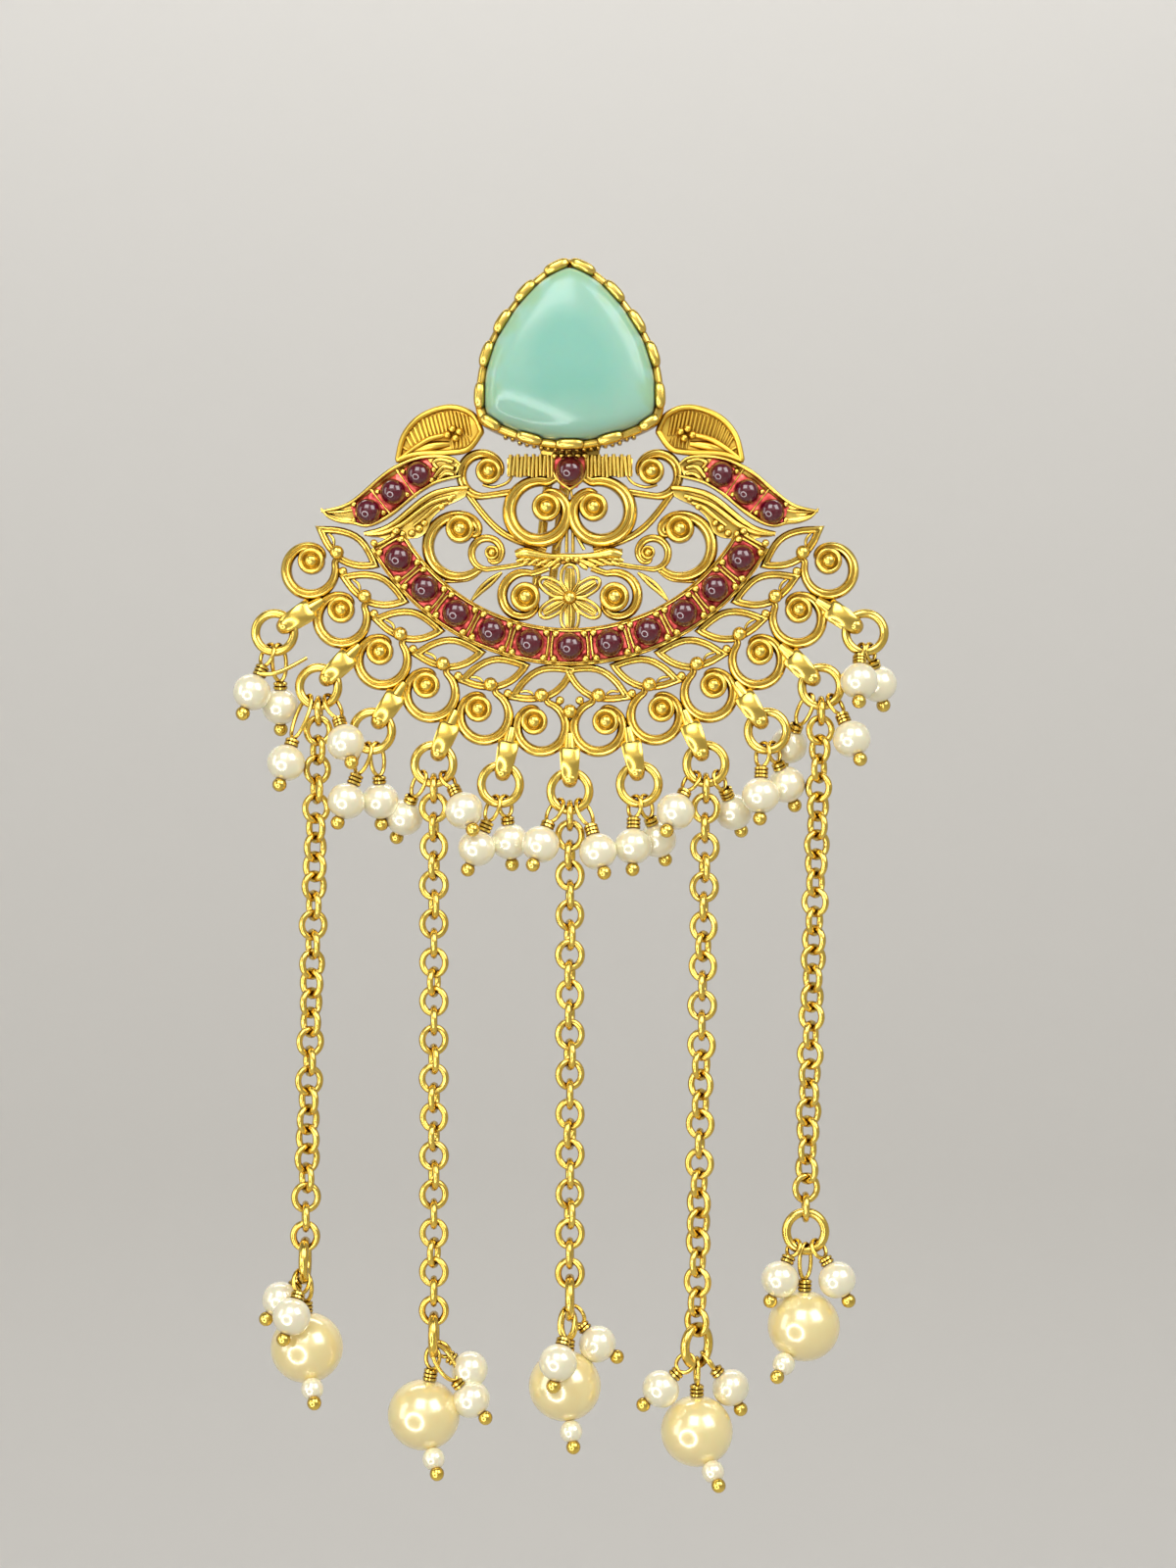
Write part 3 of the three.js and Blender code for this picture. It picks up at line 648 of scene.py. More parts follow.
def buildOuterUnits():
    bm = bmesh.new()
    scrolls, leaves, tips = [], [], []
    leaf = [(-3.0, 3.1), (-3.0, 3.1), (-1.5, 3.2), (0.5, 2.9), (2.1, 1.4), (3.1, -0.5), (3.1, -0.5),
            (1.4, -0.6), (-0.8, -0.1), (-2.2, 1.2), (-2.9, 2.7)]
    for side in (-1, 1):
        for k in range(6):
            angle = unitTable["first"] + unitTable["step"] * k
            laid = partial(laidOut, onFan(angle, unitTable["circle"]), angle, side)
            scrolls.append([laid(*point) for point in scrollLine(outerScroll)])
            leaves.append([laid(x, z, unitTable["leafWire"]) for x, z in leaf])
            tips.append([laid(0.9, 0.0, 0.3), laid(1.5, 0.5, 0.4), laid(2.3, 0.1, 0.3)])
            x, z, _ = laid(*outerScroll["button"])
            stamp(bm, button, place(x, 0, z))
            x, z, _ = laid(-2.1, -0.35)
            stamp(bm, smallBall, place(x, -0.2, z, unitTable["tipBall"]))
            x, z, _ = laid(0, 0)
            stamp(bm, smallBall, place(x, -0.7, z, unitTable["centreBall"]))
    sweepFlat(bm, scrolls, doubleRidge, -0.1)
    sweepFlat(bm, leaves, doubleRidge, -0.1, closed=True)
    sweepFlat(bm, tips, singleRidge, -0.15)
    stamp(bm, smallBall, place(0, -0.5, unitTable["lowBall"], unitTable["centreBall"]))
    addPiece("outerScrolls", bm, [castGold], bodyNodes)


buildOuterUnits()
print("outer scrolls done")

# Wings: pointed plates with three stone seats, and a ribbed leaf above each.
wingTable = {
    "upper": [(12.0, 14.7), (13.0, 15.5), (15, 15.65), (16.8, 15.4), (18.4, 14.8), (20, 13.9),
              (21.8, 12.4), (23.4, 11.0), (25, 10.1), (27.3, 9.6)],
    "lower": [(27.3, 9.6), (26.6, 8.75), (25.2, 8.2), (23.9, 8.1), (22.6, 7.75), (21.2, 8.1), (19.6, 9),
              (18, 10.3), (16.5, 11.5), (15, 12.4), (13.6, 12.85), (12.0, 13.2)],
    "rubies": [(16.6, 13.5), (19.4, 11.55), (22.15, 9.4)],
    "balls": [(15.0, 14.0), (15.2, 12.9), (18.3, 13.8), (17.9, 11.3), (21.1, 11.6), (20.5, 9.3), (23.7, 10.2),
              (23.7, 8.5)],
    "ballSize": 0.32, "rim": 0.34, "back": 0.4, "front": -1.1, "sink": 0.35,
}
borderTable = {
    "upper": [(11.2, 12.35), (12.4, 12.3), (13.6, 12.1), (15, 11.7), (16.4, 10.85), (17.8, 9.7), (19.2, 8.55),
              (20.6, 7.8), (22.6, 7.3)],
    "lower": [(22.6, 7.3), (22.2, 6.75), (21, 6.65), (19.6, 6.35), (18, 6.5), (16.8, 6.6), (15.8, 7.2),
              (15.3, 8.4), (14.6, 9.3), (13.4, 10.2), (12.3, 10.7), (10.9, 11.5)],
    "balls": [(14.1, 10.0, 0.4), (13.2, 10.9, 0.36), (16.6, 7.6, 0.45), (17.4, 7.1, 0.42), (18.4, 7.0, 0.4),
              (16.0, 8.2, 0.36), (19.4, 6.9, 0.34)],
    "rim": 0.15, "back": 0.4, "front": -0.7, "sink": 0.05,
}
leafTable = {
    "upper": [(9.7, 18.2), (10.7, 20.1), (13.2, 20.9), (16.3, 19.9), (18.2, 17.8), (18.9, 15.1)],
    "lower": [(18.9, 15.1), (16.8, 15.75), (13.6, 15.9), (11.2, 16.3), (9.7, 18.2)],
    "spine": [(10.4, 17.6), (13.0, 17.9), (15.8, 17.2), (18.3, 15.6)],
    "ribs": (10.9, 18.9), "ribPitch": 0.42, "lowRibsEnd": 13.2,
    "rim": 0.3, "back": 0.4, "front": -0.9, "sink": 0.08,
}


def outlineOf(table, upperCount=20):
    upper, lower = smoothLine(table["upper"], upperCount), smoothLine(table["lower"], 24)
    return upper, lower, upper + lower[1:-1]


# A flat plate with a raised rim round its sunk floor.
def castPlate(bm, rows, side, table):
    verts = [bm.verts.new((x * side, table["back"], z)) for x, z in rows]
    face = bm.faces.new(verts)
    made = bmesh.ops.extrude_face_region(bm, geom=[face])["geom"]
    raised = [part for part in made if isinstance(part, bmesh.types.BMVert)]
    bmesh.ops.translate(bm, vec=(0, table["front"] - table["back"], 0), verts=raised)
    top = [part for part in made if isinstance(part, bmesh.types.BMFace)]
    bmesh.ops.inset_region(bm, faces=top, thickness=table["rim"], use_even_offset=True)
    floor = {vert for face in top for vert in face.verts}
    bmesh.ops.translate(bm, vec=(0, table["sink"], 0), verts=list(floor))


def heightAt(rows, x):
    ordered = sorted(rows)
    for (x0, z0), (x1, z1) in zip(ordered, ordered[1:]):
        if x0 <= x <= x1:
            return z0 + (z1 - z0) * (x - x0) / max(x1 - x0, 1e-6)
    return ordered[0][1] if x < ordered[0][0] else ordered[-1][1]


def addStoneWing(bm, side):
    upper, lower, outline = outlineOf(wingTable)
    castPlate(bm, outline, side, wingTable)
    foilLine = [(15.2, 14.5, 2.3), (16.6, 13.5, 2.8), (19.4, 11.55, 2.9), (22.2, 9.55, 2.7),
                (23.7, 8.95, 2.0)]
    sweepFlat(bm, [mirrored(foilLine, side)], flatStrap, -0.75, material=1)
    ribs = [[(23.9, 9.6, 0.3), (25.2, 9.3, 0.5), (26.8, 9.4, 0.25)],  # ridge along the tip
            smoothStrand([(12.9, 14.9), (14.2, 15.2), (15, 14.8), (14.6, 14.2)], 10, 0.5),
            smoothStrand([(12.8, 14.2), (13.8, 14.4), (14.5, 13.8), (14.9, 13.2)], 10, 0.5),
            smoothStrand([(12.8, 13.5), (13.6, 13.6), (14.3, 13.1)], 8, 0.45)]
    for (x0, z0), (x1, z1) in zip(wingTable["rubies"], wingTable["rubies"][1:]):
        # a wall between two stones, across the line that joins them
        x, z, dx, dz = (x0 + x1) / 2, (z0 + z1) / 2, (x1 - x0) * 0.55, (z1 - z0) * 0.55
        ribs.append([(x - dz, z + dx, 0.34), (x, z, 0.3), (x + dz, z - dx, 0.34)])
    sweepFlat(bm, [mirrored(rib, side) for rib in ribs], singleRidge, -0.8)
    edging = [withWidth([(x, z - 0.15) for x, z in upper], 0.5, 0.6),
              withWidth([(x, z + 0.15) for x, z in lower], 0.42, 0.6)]
    sweepFlat(bm, [mirrored(line, side) for line in edging], singleRidge, -1.0)
    for x, z in wingTable["balls"]:
        stamp(bm, smallBall, place(x * side, wingTable["front"], z, wingTable["ballSize"]))


def addBorderWing(bm, side):
    upper, _, outline = outlineOf(borderTable)
    castPlate(bm, outline, side, borderTable)
    strands = [withWidth([(x, z - 0.3) for x, z in upper], 0.72, 0.7),
               smoothStrand([(12.6, 11.2), (15, 10.5), (16.8, 9.3), (18.5, 8.0), (20.5, 7.1), (22.3, 6.95)],
                            20, 0.62, 0.7),
               smoothStrand([(13.4, 10.4), (14.6, 10.0), (15.8, 9.0), (17.2, 7.9)], 12, 0.5, 0.6)]
    sweepFlat(bm, [mirrored(line, side) for line in strands], singleRidge, -0.75)
    for x, z, size in borderTable["balls"]:
        stamp(bm, smallBall, place(x * side, -0.75, z, size))


def buildWings():
    bm = bmesh.new()
    for side in (-1, 1):
        addStoneWing(bm, side)
        addBorderWing(bm, side)
    addPiece("wingPlates", bm, [castGold, foil], bodyNodes)


def leafRibs():
    # slanting ribs above the spine, and short ones below it near the stem
    first, last = leafTable["ribs"]
    ribs, x = [], first
    while x < last:
        spine = heightAt(leafTable["spine"], x)
        lean = 0.35 + 0.06 * (x - 10)
        top = heightAt(leafTable["upper"], min(x + lean, last)) - 0.35
        if top > spine + 0.5:
            ribs.append([(x, spine + 0.1, 0.34), ((2 * x + lean) / 2, (spine + top) / 2, 0.42),
                         (x + lean, top, 0.38)])
        low = heightAt(leafTable["lower"], x - 0.2) + 0.3
        if low < spine - 0.5 and x < leafTable["lowRibsEnd"]:
            ribs.append([(x, spine - 0.1, 0.3), (x - 0.15, (spine + low) / 2, 0.38), (x - 0.2, low, 0.34)])
        x += leafTable["ribPitch"]
    return ribs


def buildLeaves():
    bm = bmesh.new()
    outline = outlineOf(leafTable, upperCount=24)[2]
    rim = [(x, z, 0.66) for x, z in outline]
    fold = [(18.2, 15.6, 0.4), (16.6, 16.3, 1.0), (14.8, 16.7, 1.3), (13.2, 16.9, 0.7)]
    vein = smoothStrand([(13.1, 17.9), (15.6, 17.3), (18.5, 15.4)], 14, 0.6, 0.5)
    for side in (-1, 1):
        castPlate(bm, outline, side, leafTable)
        sweepFlat(bm, [mirrored(rim, side)], singleRidge, -1.0, closed=True)
        sweepFlat(bm, [mirrored(rib, side) for rib in leafRibs()], singleRidge, -0.8)
        sweepFlat(bm, [mirrored(fold, side)], singleRidge, -0.6)
        sweepFlat(bm, [mirrored(vein, side)], singleRidge, -1.15)
        for dx, dz in ((0, 0.55), (0.55, -0.1), (-0.35, -0.45), (-0.75, 0.25)):  # four berries
            stamp(bm, smallBall, place((12.9 + dx) * side, -1.4, 17.9 + dz, 0.42))
    addPiece("ribbedLeaves", bm, [satinGold], bodyNodes)


buildWings()
buildLeaves()
print("wings and leaves done")

# Red cabochons: one dome, stamped on every seat.
rubyTable = {"radius": 1.45, "seat": -0.95, "large": 1.1, "small": 1.02, "centre": (0, 13.9)}
ruby = turned("ruby", [(0, -1.55), (0.35, -1.52), (0.68, -1.4), (0.98, -1.18), (1.22, -0.86), (1.37, -0.5),
                       (1.45, -0.12), (1.4, 0.05), (0, 0.05)])


def markEdge(piece, centres, radius):
    # how far each point lies from its stone's middle, for the glass colour and its painted glow at the girdle
    values = []
    for vert in piece.data.vertices:
        x, z = vert.co.x / mm - plateShift.x, vert.co.z / mm - plateShift.z
        values.append(min(1.0, min(math.hypot(x - cx, z - cz) for cx, cz in centres) / radius))
    layer = piece.data.attributes.new("edge", "FLOAT", "POINT")
    layer.data.foreach_set("value", values)


def buildRubies(name, size, centres, nodes):
    bm = bmesh.new()
    for x, z in centres:
        stamp(bm, ruby, place(x, rubyTable["seat"], z, size))
    piece = addPiece(name, bm, [rubyGlass], nodes, sharp=80)
    markEdge(piece, centres, rubyTable["radius"] * size)


bandSeats = [onFan(k * crescentTable["step"], crescentTable["stones"]) for k in range(-5, 6)]
leftSeats = [(-x, z) for x, z in wingTable["rubies"]]
buildRubies("crescentRubies", rubyTable["large"], bandSeats, [f"ruby_band_{k}" for k in range(1, 12)])
buildRubies("leftWingRubies", rubyTable["small"], leftSeats, [f"ruby_left_{k}" for k in (1, 2, 3)])
buildRubies("rightWingRubies", rubyTable["small"], wingTable["rubies"],
            [f"ruby_right_{k}" for k in (1, 2, 3)])
buildRubies("centreRuby", rubyTable["large"], [rubyTable["centre"]], ["ruby_centre"])

# Bezel and mint stone. A wall's rows give a scale about the middle and a depth.
bezelHalf = [(0, 37.0), (1.3, 36.55), (2.6, 35.85), (4.2, 34.6), (6.1, 32.5), (7.9, 29.9), (9.3, 27.2),
             (10.05, 24.6), (10.35, 22), (10.3, 20.2), (9.6, 18.8), (7.5, 17.7), (5, 16.8), (2.5, 16.25)]
bezelRows = bezelHalf + [(0, 16.05)] + [(-x, z) for x, z in reversed(bezelHalf[1:])]
bezelCentre = 25.5
bezelOutline = smoothLine(bezelRows, 120, closed=True)
bezelTable = {
    "wall": [(0.9, 0.5), (0.96, 0.5), (0.985, 0.25), (0.995, -0.6), (0.995, -2.2), (0.985, -2.6),
             (0.965, -2.8), (0.935, -2.88), (0.905, -2.85), (0.892, -2.75), (0.89, -0.9)],
    "bumps": [(1.62, 35.95, 1.5), (5.0, 33.2, 1.5), (7.5, 30, 1.5), (9.3, 26.2, 1.5), (9.7, 22, 1.5),
              (8.3, 19.1, 1.25), (4.2, 17.5, 1.5)],
    "lowBump": (0, 17.1, 1.6), "bumpLine": 0.945, "bumpDepth": -3.3, "bumpSize": (0.85, 0.66),
    "ticks": 9, "tickPitch": 0.78, "tickSize": (0.28, 1.0, 0.3), "tickDepth": -1.3,
}
stoneTable = {
    "wall": [(0.9, -1.0), (0.902, -2.7), (0.897, -3.4), (0.887, -3.95), (0.868, -4.45), (0.838, -4.88),
             (0.79, -5.22), (0.725, -5.5), (0.63, -5.74), (0.51, -5.92), (0.37, -6.04), (0.22, -6.12),
             (0.07, -6.16)],
    "girdle": 0.9, "rounding": 520, "claws": 5, "clawReach": 2.2, "clawFade": 0.4,
}


# Raises a closed outline into a shell, and returns each level's points with its scale.
def risingShell(bm, rows, wall, centre):
    scale, y = wall[0]
    verts = [bm.verts.new((x * scale, y, centre + (z - centre) * scale)) for x, z in rows]
    edges = [bm.edges.new((a, b)) for a, b in zip(verts, verts[1:] + verts[:1])]
    bm.faces.new(verts)
    levels = [(list(verts), scale)]
    for newScale, newY in wall[1:]:
        made = bmesh.ops.extrude_edge_only(bm, edges=edges)["geom"]
        verts = [part for part in made if isinstance(part, bmesh.types.BMVert)]
        edges = [part for part in made if isinstance(part, bmesh.types.BMEdge)]
        grow = newScale / scale
        bmesh.ops.scale(bm, vec=(grow, 1, grow), space=Matrix.Translation((0, 0, -centre)), verts=verts)
        bmesh.ops.translate(bm, vec=(0, newY - y, 0), verts=verts)
        scale, y = newScale, newY
        levels.append((verts, scale))
    bmesh.ops.contextual_create(bm, geom=edges)
    return levels


def scallopTemplate():
    bm = bmesh.new()
    bmesh.ops.create_cube(bm, size=2)
    bmesh.ops.bevel(bm, geom=bm.edges[:], offset=0.8, segments=6, affect="EDGES", profile=0.5, material=-1)
    return asTemplate("scallop", bm)


def buildBezel():
    bm = bmesh.new()
    risingShell(bm, bezelOutline, bezelTable["wall"], bezelCentre)
    scallop = scallopTemplate()
    scale = bezelTable["bumpLine"]
    rimLine = [(x * scale, bezelCentre + (z - bezelCentre) * scale) for x, z in bezelOutline]
    count = len(rimLine)
    spots = [(x * side, z, long) for x, z, long in bezelTable["bumps"] for side in (-1, 1)]
    deep, wide = bezelTable["bumpSize"]
    for x, z, long in spots + [bezelTable["lowBump"]]:
        near = min(range(count), key=lambda i: math.hypot(rimLine[i][0] - x, rimLine[i][1] - z))
        (x0, z0), (x1, z1) = bezelOutline[near - 2], bezelOutline[(near + 2) % count]
        px, pz = rimLine[near]
        slope = Matrix.Rotation(-math.atan2(z1 - z0, x1 - x0), 4, "Y")
        size = Matrix.Diagonal((long, deep, wide, 1))
        stamp(bm, scallop, Matrix.Translation((px, bezelTable["bumpDepth"], pz)) @ slope @ size)
    # lower tier of ticks under the bottom edge
    foot = [row for row in bezelOutline if row[1] < 22]
    for i in range(-bezelTable["ticks"], bezelTable["ticks"] + 1):
        x = i * bezelTable["tickPitch"]
        z = min(foot, key=lambda row: abs(row[0] - x))[1]
        spot = Matrix.Translation((x, bezelTable["tickDepth"], z + 0.05))
        stamp(bm, scallop, spot @ Matrix.Diagonal((*bezelTable["tickSize"], 1)))
    # back strap that ties the bezel to the bars
    sweepFlat(bm, [[(0, 12.8, 5.5), (0, 16, 6.5), (0, 19, 7.5)]], flatStrap, 0.45)
    addPiece("stoneBezel", bm, [castGold], bodyNodes)


def roundOff(verts, rounds):
    # draws each point of a ring towards its two neighbours
    ring = set(verts)
    beside = {}
    for vert in verts:
        linked = [edge.other_vert(vert) for edge in vert.link_edges]
        beside[vert] = [other for other in linked if other in ring]
    for _ in range(rounds):
        spots = {vert: vert.co.copy() for vert in verts}
        for vert in verts:
            a, b = beside[vert]
            vert.co = spots[vert] * 0.5 + (spots[a] + spots[b]) * 0.25


def buildStone():
    bm = bmesh.new()
    edge = bm.verts.layers.float.new("edge")
    claw = bm.verts.layers.float.new("claw")
    girdle = stoneTable["girdle"]
    claws = bezelTable["bumps"][:stoneTable["claws"]]
    for verts, scale in risingShell(bm, bezelOutline, stoneTable["wall"], bezelCentre):
        # the pointed outline rounds off towards the crown
        roundOff(verts, int((girdle - scale) * stoneTable["rounding"]))
        for vert in verts:
            vert[edge] = min(1.0, scale / girdle)
            # how near each point is to a scallop, for the painted reflection
            gap = min(math.hypot(abs(vert.co.x) - x, vert.co.z - z) for x, z, _ in claws)
            vert[claw] = max(0.0, min(1.0, (stoneTable["clawReach"] - gap) / stoneTable["clawFade"]))
    addPiece("mintStone", bm, [mintGlass], ["mint_stone"], sharp=80, levels=1)


buildBezel()
buildStone()
print("bezel and stones done")

# Bails and jump rings, eleven of each along the fan.
bailTable = {"count": 11, "circle": 36.15, "step": 11.3, "length": 2.2, "depth": 1.2, "strap": 0.6,
             "wide": 2.1, "flare": 0.16, "taper": 0.35,
             "knob": (0.8, 0.62, 0.72), "knobDrop": 1.5, "knobDepth": -0.78}
ringTable = {"circle": 39.0, "radius": 2.12, "wire": 0.52}
jumpRing = ringTemplate("jumpRing", ringTable["radius"], ringTable["wire"])


def fanAngle(index):
    return (index - (bailTable["count"] + 1) / 2) * bailTable["step"]


def ringSpot(index):
    return onFan(fanAngle(index), ringTable["circle"])


def bailTemplate():
    bm = bmesh.new()
    section = circlePoints(18, 0.5, bailTable["wide"] / bailTable["strap"] / 2)
    loop = circlePoints(28, bailTable["length"], bailTable["depth"])
    sweepFlat(bm, [withWidth(loop, bailTable["strap"])], section, closed=True)
    # the loop lies in the plate so far: stand it up, long way in and out along the fan
    upright = Matrix(((0, 1, 0, 0), (0, 0, 1, 0), (1, 0, 0, 0), (0, 0, 0, 1)))
    bmesh.ops.transform(bm, matrix=upright, verts=bm.verts)
    for vert in bm.verts:  # wider towards the plate, drawn in where the ring hangs
        along = vert.co.z / (bailTable["length"] + 0.25)
        narrow = bailTable["taper"] * along ** 4 if along < 0 else 0
        vert.co.x *= 1 + bailTable["flare"] * along - narrow
    return asTemplate("bail", bm)


def buildBails():
    bm = bmesh.new()
    bail = bailTemplate()
    knob = Matrix.Diagonal((*bailTable["knob"], 1))
    stems = []
    for index in range(1, bailTable["count"] + 1):
        angle = fanAngle(index)
        x, z = onFan(angle, bailTable["circle"])
        stamp(bm, bail, Matrix.Translation((x, 0, z)) @ Matrix.Rotation(-math.radians(angle), 4, "Y"))
        stems.append([(*onFan(angle, 32.6), 1.2), (*onFan(angle, 33.4), 1.6), (*onFan(angle, 34.2), 1.8)])
        x, z = onFan(angle, bailTable["circle"] + bailTable["knobDrop"])
        stamp(bm, smallBall, Matrix.Translation((x, bailTable["knobDepth"], z)) @ knob)
    sweepFlat(bm, stems, singleRidge, 0.0)
    addPiece("bails", bm, [wireGold], bodyNodes)


def buildJumpRing(index):
    bm = bmesh.new()
    x, z = ringSpot(index)
    stamp(bm, jumpRing, place(x, 0, z))
    addPiece(f"jumpRing{index}", bm, [wireGold], [f"jump_ring_{index}"])


# Hair pin: two wires that leave the back, bend down and run behind the plate to blunt tips.
# The route's rows are z, y and the share of the wire's radius.
pinTable = {
    "wire": 0.53, "apart": 0.9, "lean": 0.12, "root": 26,
    "route": [(26.1, 0.3, 1), (26.0, 2.0, 1), (25.7, 3.2, 1), (24.6, 3.7, 1), (22, 3.85, 1), (12, 3.9, 1),
              (2.5, 3.9, 1), (0.8, 3.9, 0.7), (0, 3.9, 0.3)],
}


def buildPin():
    bm = bmesh.new()
    root, wire, lean = pinTable["root"], pinTable["wire"], pinTable["lean"]
    for side in (-1, 1):
        start = side * pinTable["apart"]
        rows = [(start + (z - root) * lean, y, z, share * wire) for z, y, share in pinTable["route"]]
        sweepRound(bm, rows, 4)
        stamp(bm, smallBall, Matrix.Translation((start, 0.7, root)) @ Matrix.Diagonal((0.9, 0.4, 0.9, 1)))
    addPiece("hairPin", bm, [wireGold], bodyNodes)


buildBails()
for index in range(1, bailTable["count"] + 1):
    buildJumpRing(index)
buildPin()
print("bails, rings and pin done")

# Pearls on head pins: a wire eye, wrapped coils, the pearl and a gold ball below.
dangleTable = {"wire": 0.235, "coil": 0.58, "pitch": 0.42, "tip": 0.8, "eyeTurn": 42, "eyeWide": 1.05,
               "pearl": 2.08, "drop": 4.0, "bead": 1.25}
coilRing = ringTemplate("coilRing", dangleTable["coil"], dangleTable["wire"], 16, 6)
roundPearl = ballTemplate("roundPearl", 32, 20)
beadBall = ballTemplate("beadBall", 20, 12)


def aim(direction):
    # turns the template's y axis to a direction
    return direction.normalized().to_track_quat("Y", "Z").to_matrix().to_4x4()


# A wire loop, long way along a direction, stretched without thinning its wire.
def addEye(bm, top, bottom, across, half):
    along = (bottom - top).normalized()
    across = (across - along * across.dot(along)).normalized()
    middle, reach = (top + bottom) / 2, (bottom - top).length / 2
    points = []
    for i in range(13):
        angle = math.tau * i / 12
        spot = middle + along * (reach * math.cos(angle)) + across * (half * math.sin(angle))
        points.append((*spot, dangleTable["wire"]))
    sweepRound(bm, points, 2)


# Hangs a pearl at centre from the ring at ringCentre. eye is where on the ring, in degrees from its
# lowest point, and turn is how far the ring is turned about the vertical.
def addDangle(pins, pearls, centre, ringCentre, eye, radius, turn=0.0, tip=None, beads=None, coils=3):
    wire, pitch = dangleTable["wire"], dangleTable["pitch"]
    spin = Matrix.Rotation(math.radians(turn), 3, "Z")
    outwards = spin @ Vector((math.sin(math.radians(eye)), 0, -math.cos(math.radians(eye))))
    front = spin @ Vector((0, -1, 0))
    eyeSpot = ringCentre + outwards * ringTable["radius"]
    down = (centre - eyeSpot).normalized()
    neck = centre - down * (radius + pitch * (coils - 0.4))
    top = eyeSpot - outwards * (ringTable["wire"] + wire + 0.08)
    sideways = down.cross(front)
    slant = math.radians(dangleTable["eyeTurn"] if eye >= 0 else -dangleTable["eyeTurn"])
    across = front * math.cos(slant) + sideways * math.sin(slant)
    addEye(pins, top, neck, across, min(dangleTable["eyeWide"], (neck - top).length * 0.42))
    sweepRound(pins, [(*(neck + down * step), wire) for step in (-0.1, 0.3, 0.6)], 2)
    for i in range(coils):
        spot = centre - down * (radius + 0.06 + pitch * i)
        stamp(pins, coilRing, Matrix.Translation(spot) @ aim(down))
    oval = Matrix.Diagonal((radius, radius * 0.97, radius, 1))
    stamp(pearls, roundPearl, Matrix.Translation(centre) @ aim(down) @ oval)
    tip = Vector(tip).normalized() if tip else down
    size = dangleTable["tip"]
    reach = radius
    if beads is not None:  # a tiny bead between the pearl and the ball
        bead = dangleTable["bead"]
        spot = centre + tip * (radius + bead * 0.85)
        stamp(beads, beadBall, Matrix.Translation(spot) @ Matrix.Scale(bead, 4))
        reach = radius + bead * 1.8
    stamp(pins, smallBall, Matrix.Translation(centre + tip * (reach + size * 0.6)) @ Matrix.Scale(size, 4))


# For each jump ring: x, y and z from its centre to its left pearl, then to its right one.
ringPearls = [
    [(-2.4, -1, -6.6), (0.5, 1.3, -8.1)],
    [(-3.4, -2, -8.4), (3.2, -2.6, -6.2)],
    [(-2.8, -0.85, -7.7), (0.8, 0.85, -7.7)],
    [(-3.4, 1.9, -5.9), (3.4, -2, -5.1)],
    [(-2.6, -0.6, -7), (1, 0.6, -6.3)],
    [(-3.2, -2, -5.8), (3.1, -2.2, -6.6)],
    [(-0.7, -1, -6.8), (2.1, 1.6, -6.1)],
    [(-3.4, -2, -5.2), (3.2, 2.2, -5.3)],
    [(-0.8, -1, -7.1), (2.2, 1.1, -5.9)],
    [(-3.3, 2.9, -6.4), (3.2, -2, -5.8)],
    [(-0.8, -1.8, -5.4), (1.6, 1.3, -5.6)],
]
ringEyes = {"paired": 16, "besideChain": 48}
looseTail = [(-1.6, -1.2, -4.6, 0.27), (-0.2, -1.3, -4.7, 0.27), (1.6, -1.0, -4.0, 0.25),
             (3.6, -0.6, -2.8, 0.2)]


def buildRingPearls(index, pair):
    x, z = ringSpot(index)
    ringCentre = Vector((x, 0, z))
    paired = index % 2 == 1  # the even rings carry a chain between their pearls
    nodes = [f"pearl_pair_{index}"] if paired else [f"pearl_{index}_left", f"pearl_{index}_right"]
    eye = ringEyes["paired" if paired else "besideChain"]
    pins, pearls = bmesh.new(), bmesh.new()
    for side, shift in zip((-1, 1), pair):
        coils = 2 + (index + (side > 0)) % 2
        addDangle(pins, pearls, ringCentre + Vector(shift), ringCentre, side * eye, dangleTable["pearl"],
                  coils=coils)
    if index == 1:  # a loose wire tail
        sweepRound(pins, [(x + dx, y, z + dz, radius) for dx, y, dz, radius in looseTail], 2)
    addPiece(f"headPins{index}", pins, [wireGold], nodes)
    addPiece(f"ringPearls{index}", pearls, [whitePearl], nodes, sharp=80)


for index, pair in enumerate(ringPearls, start=1):
    buildRingPearls(index, pair)
print("ring pearls done")

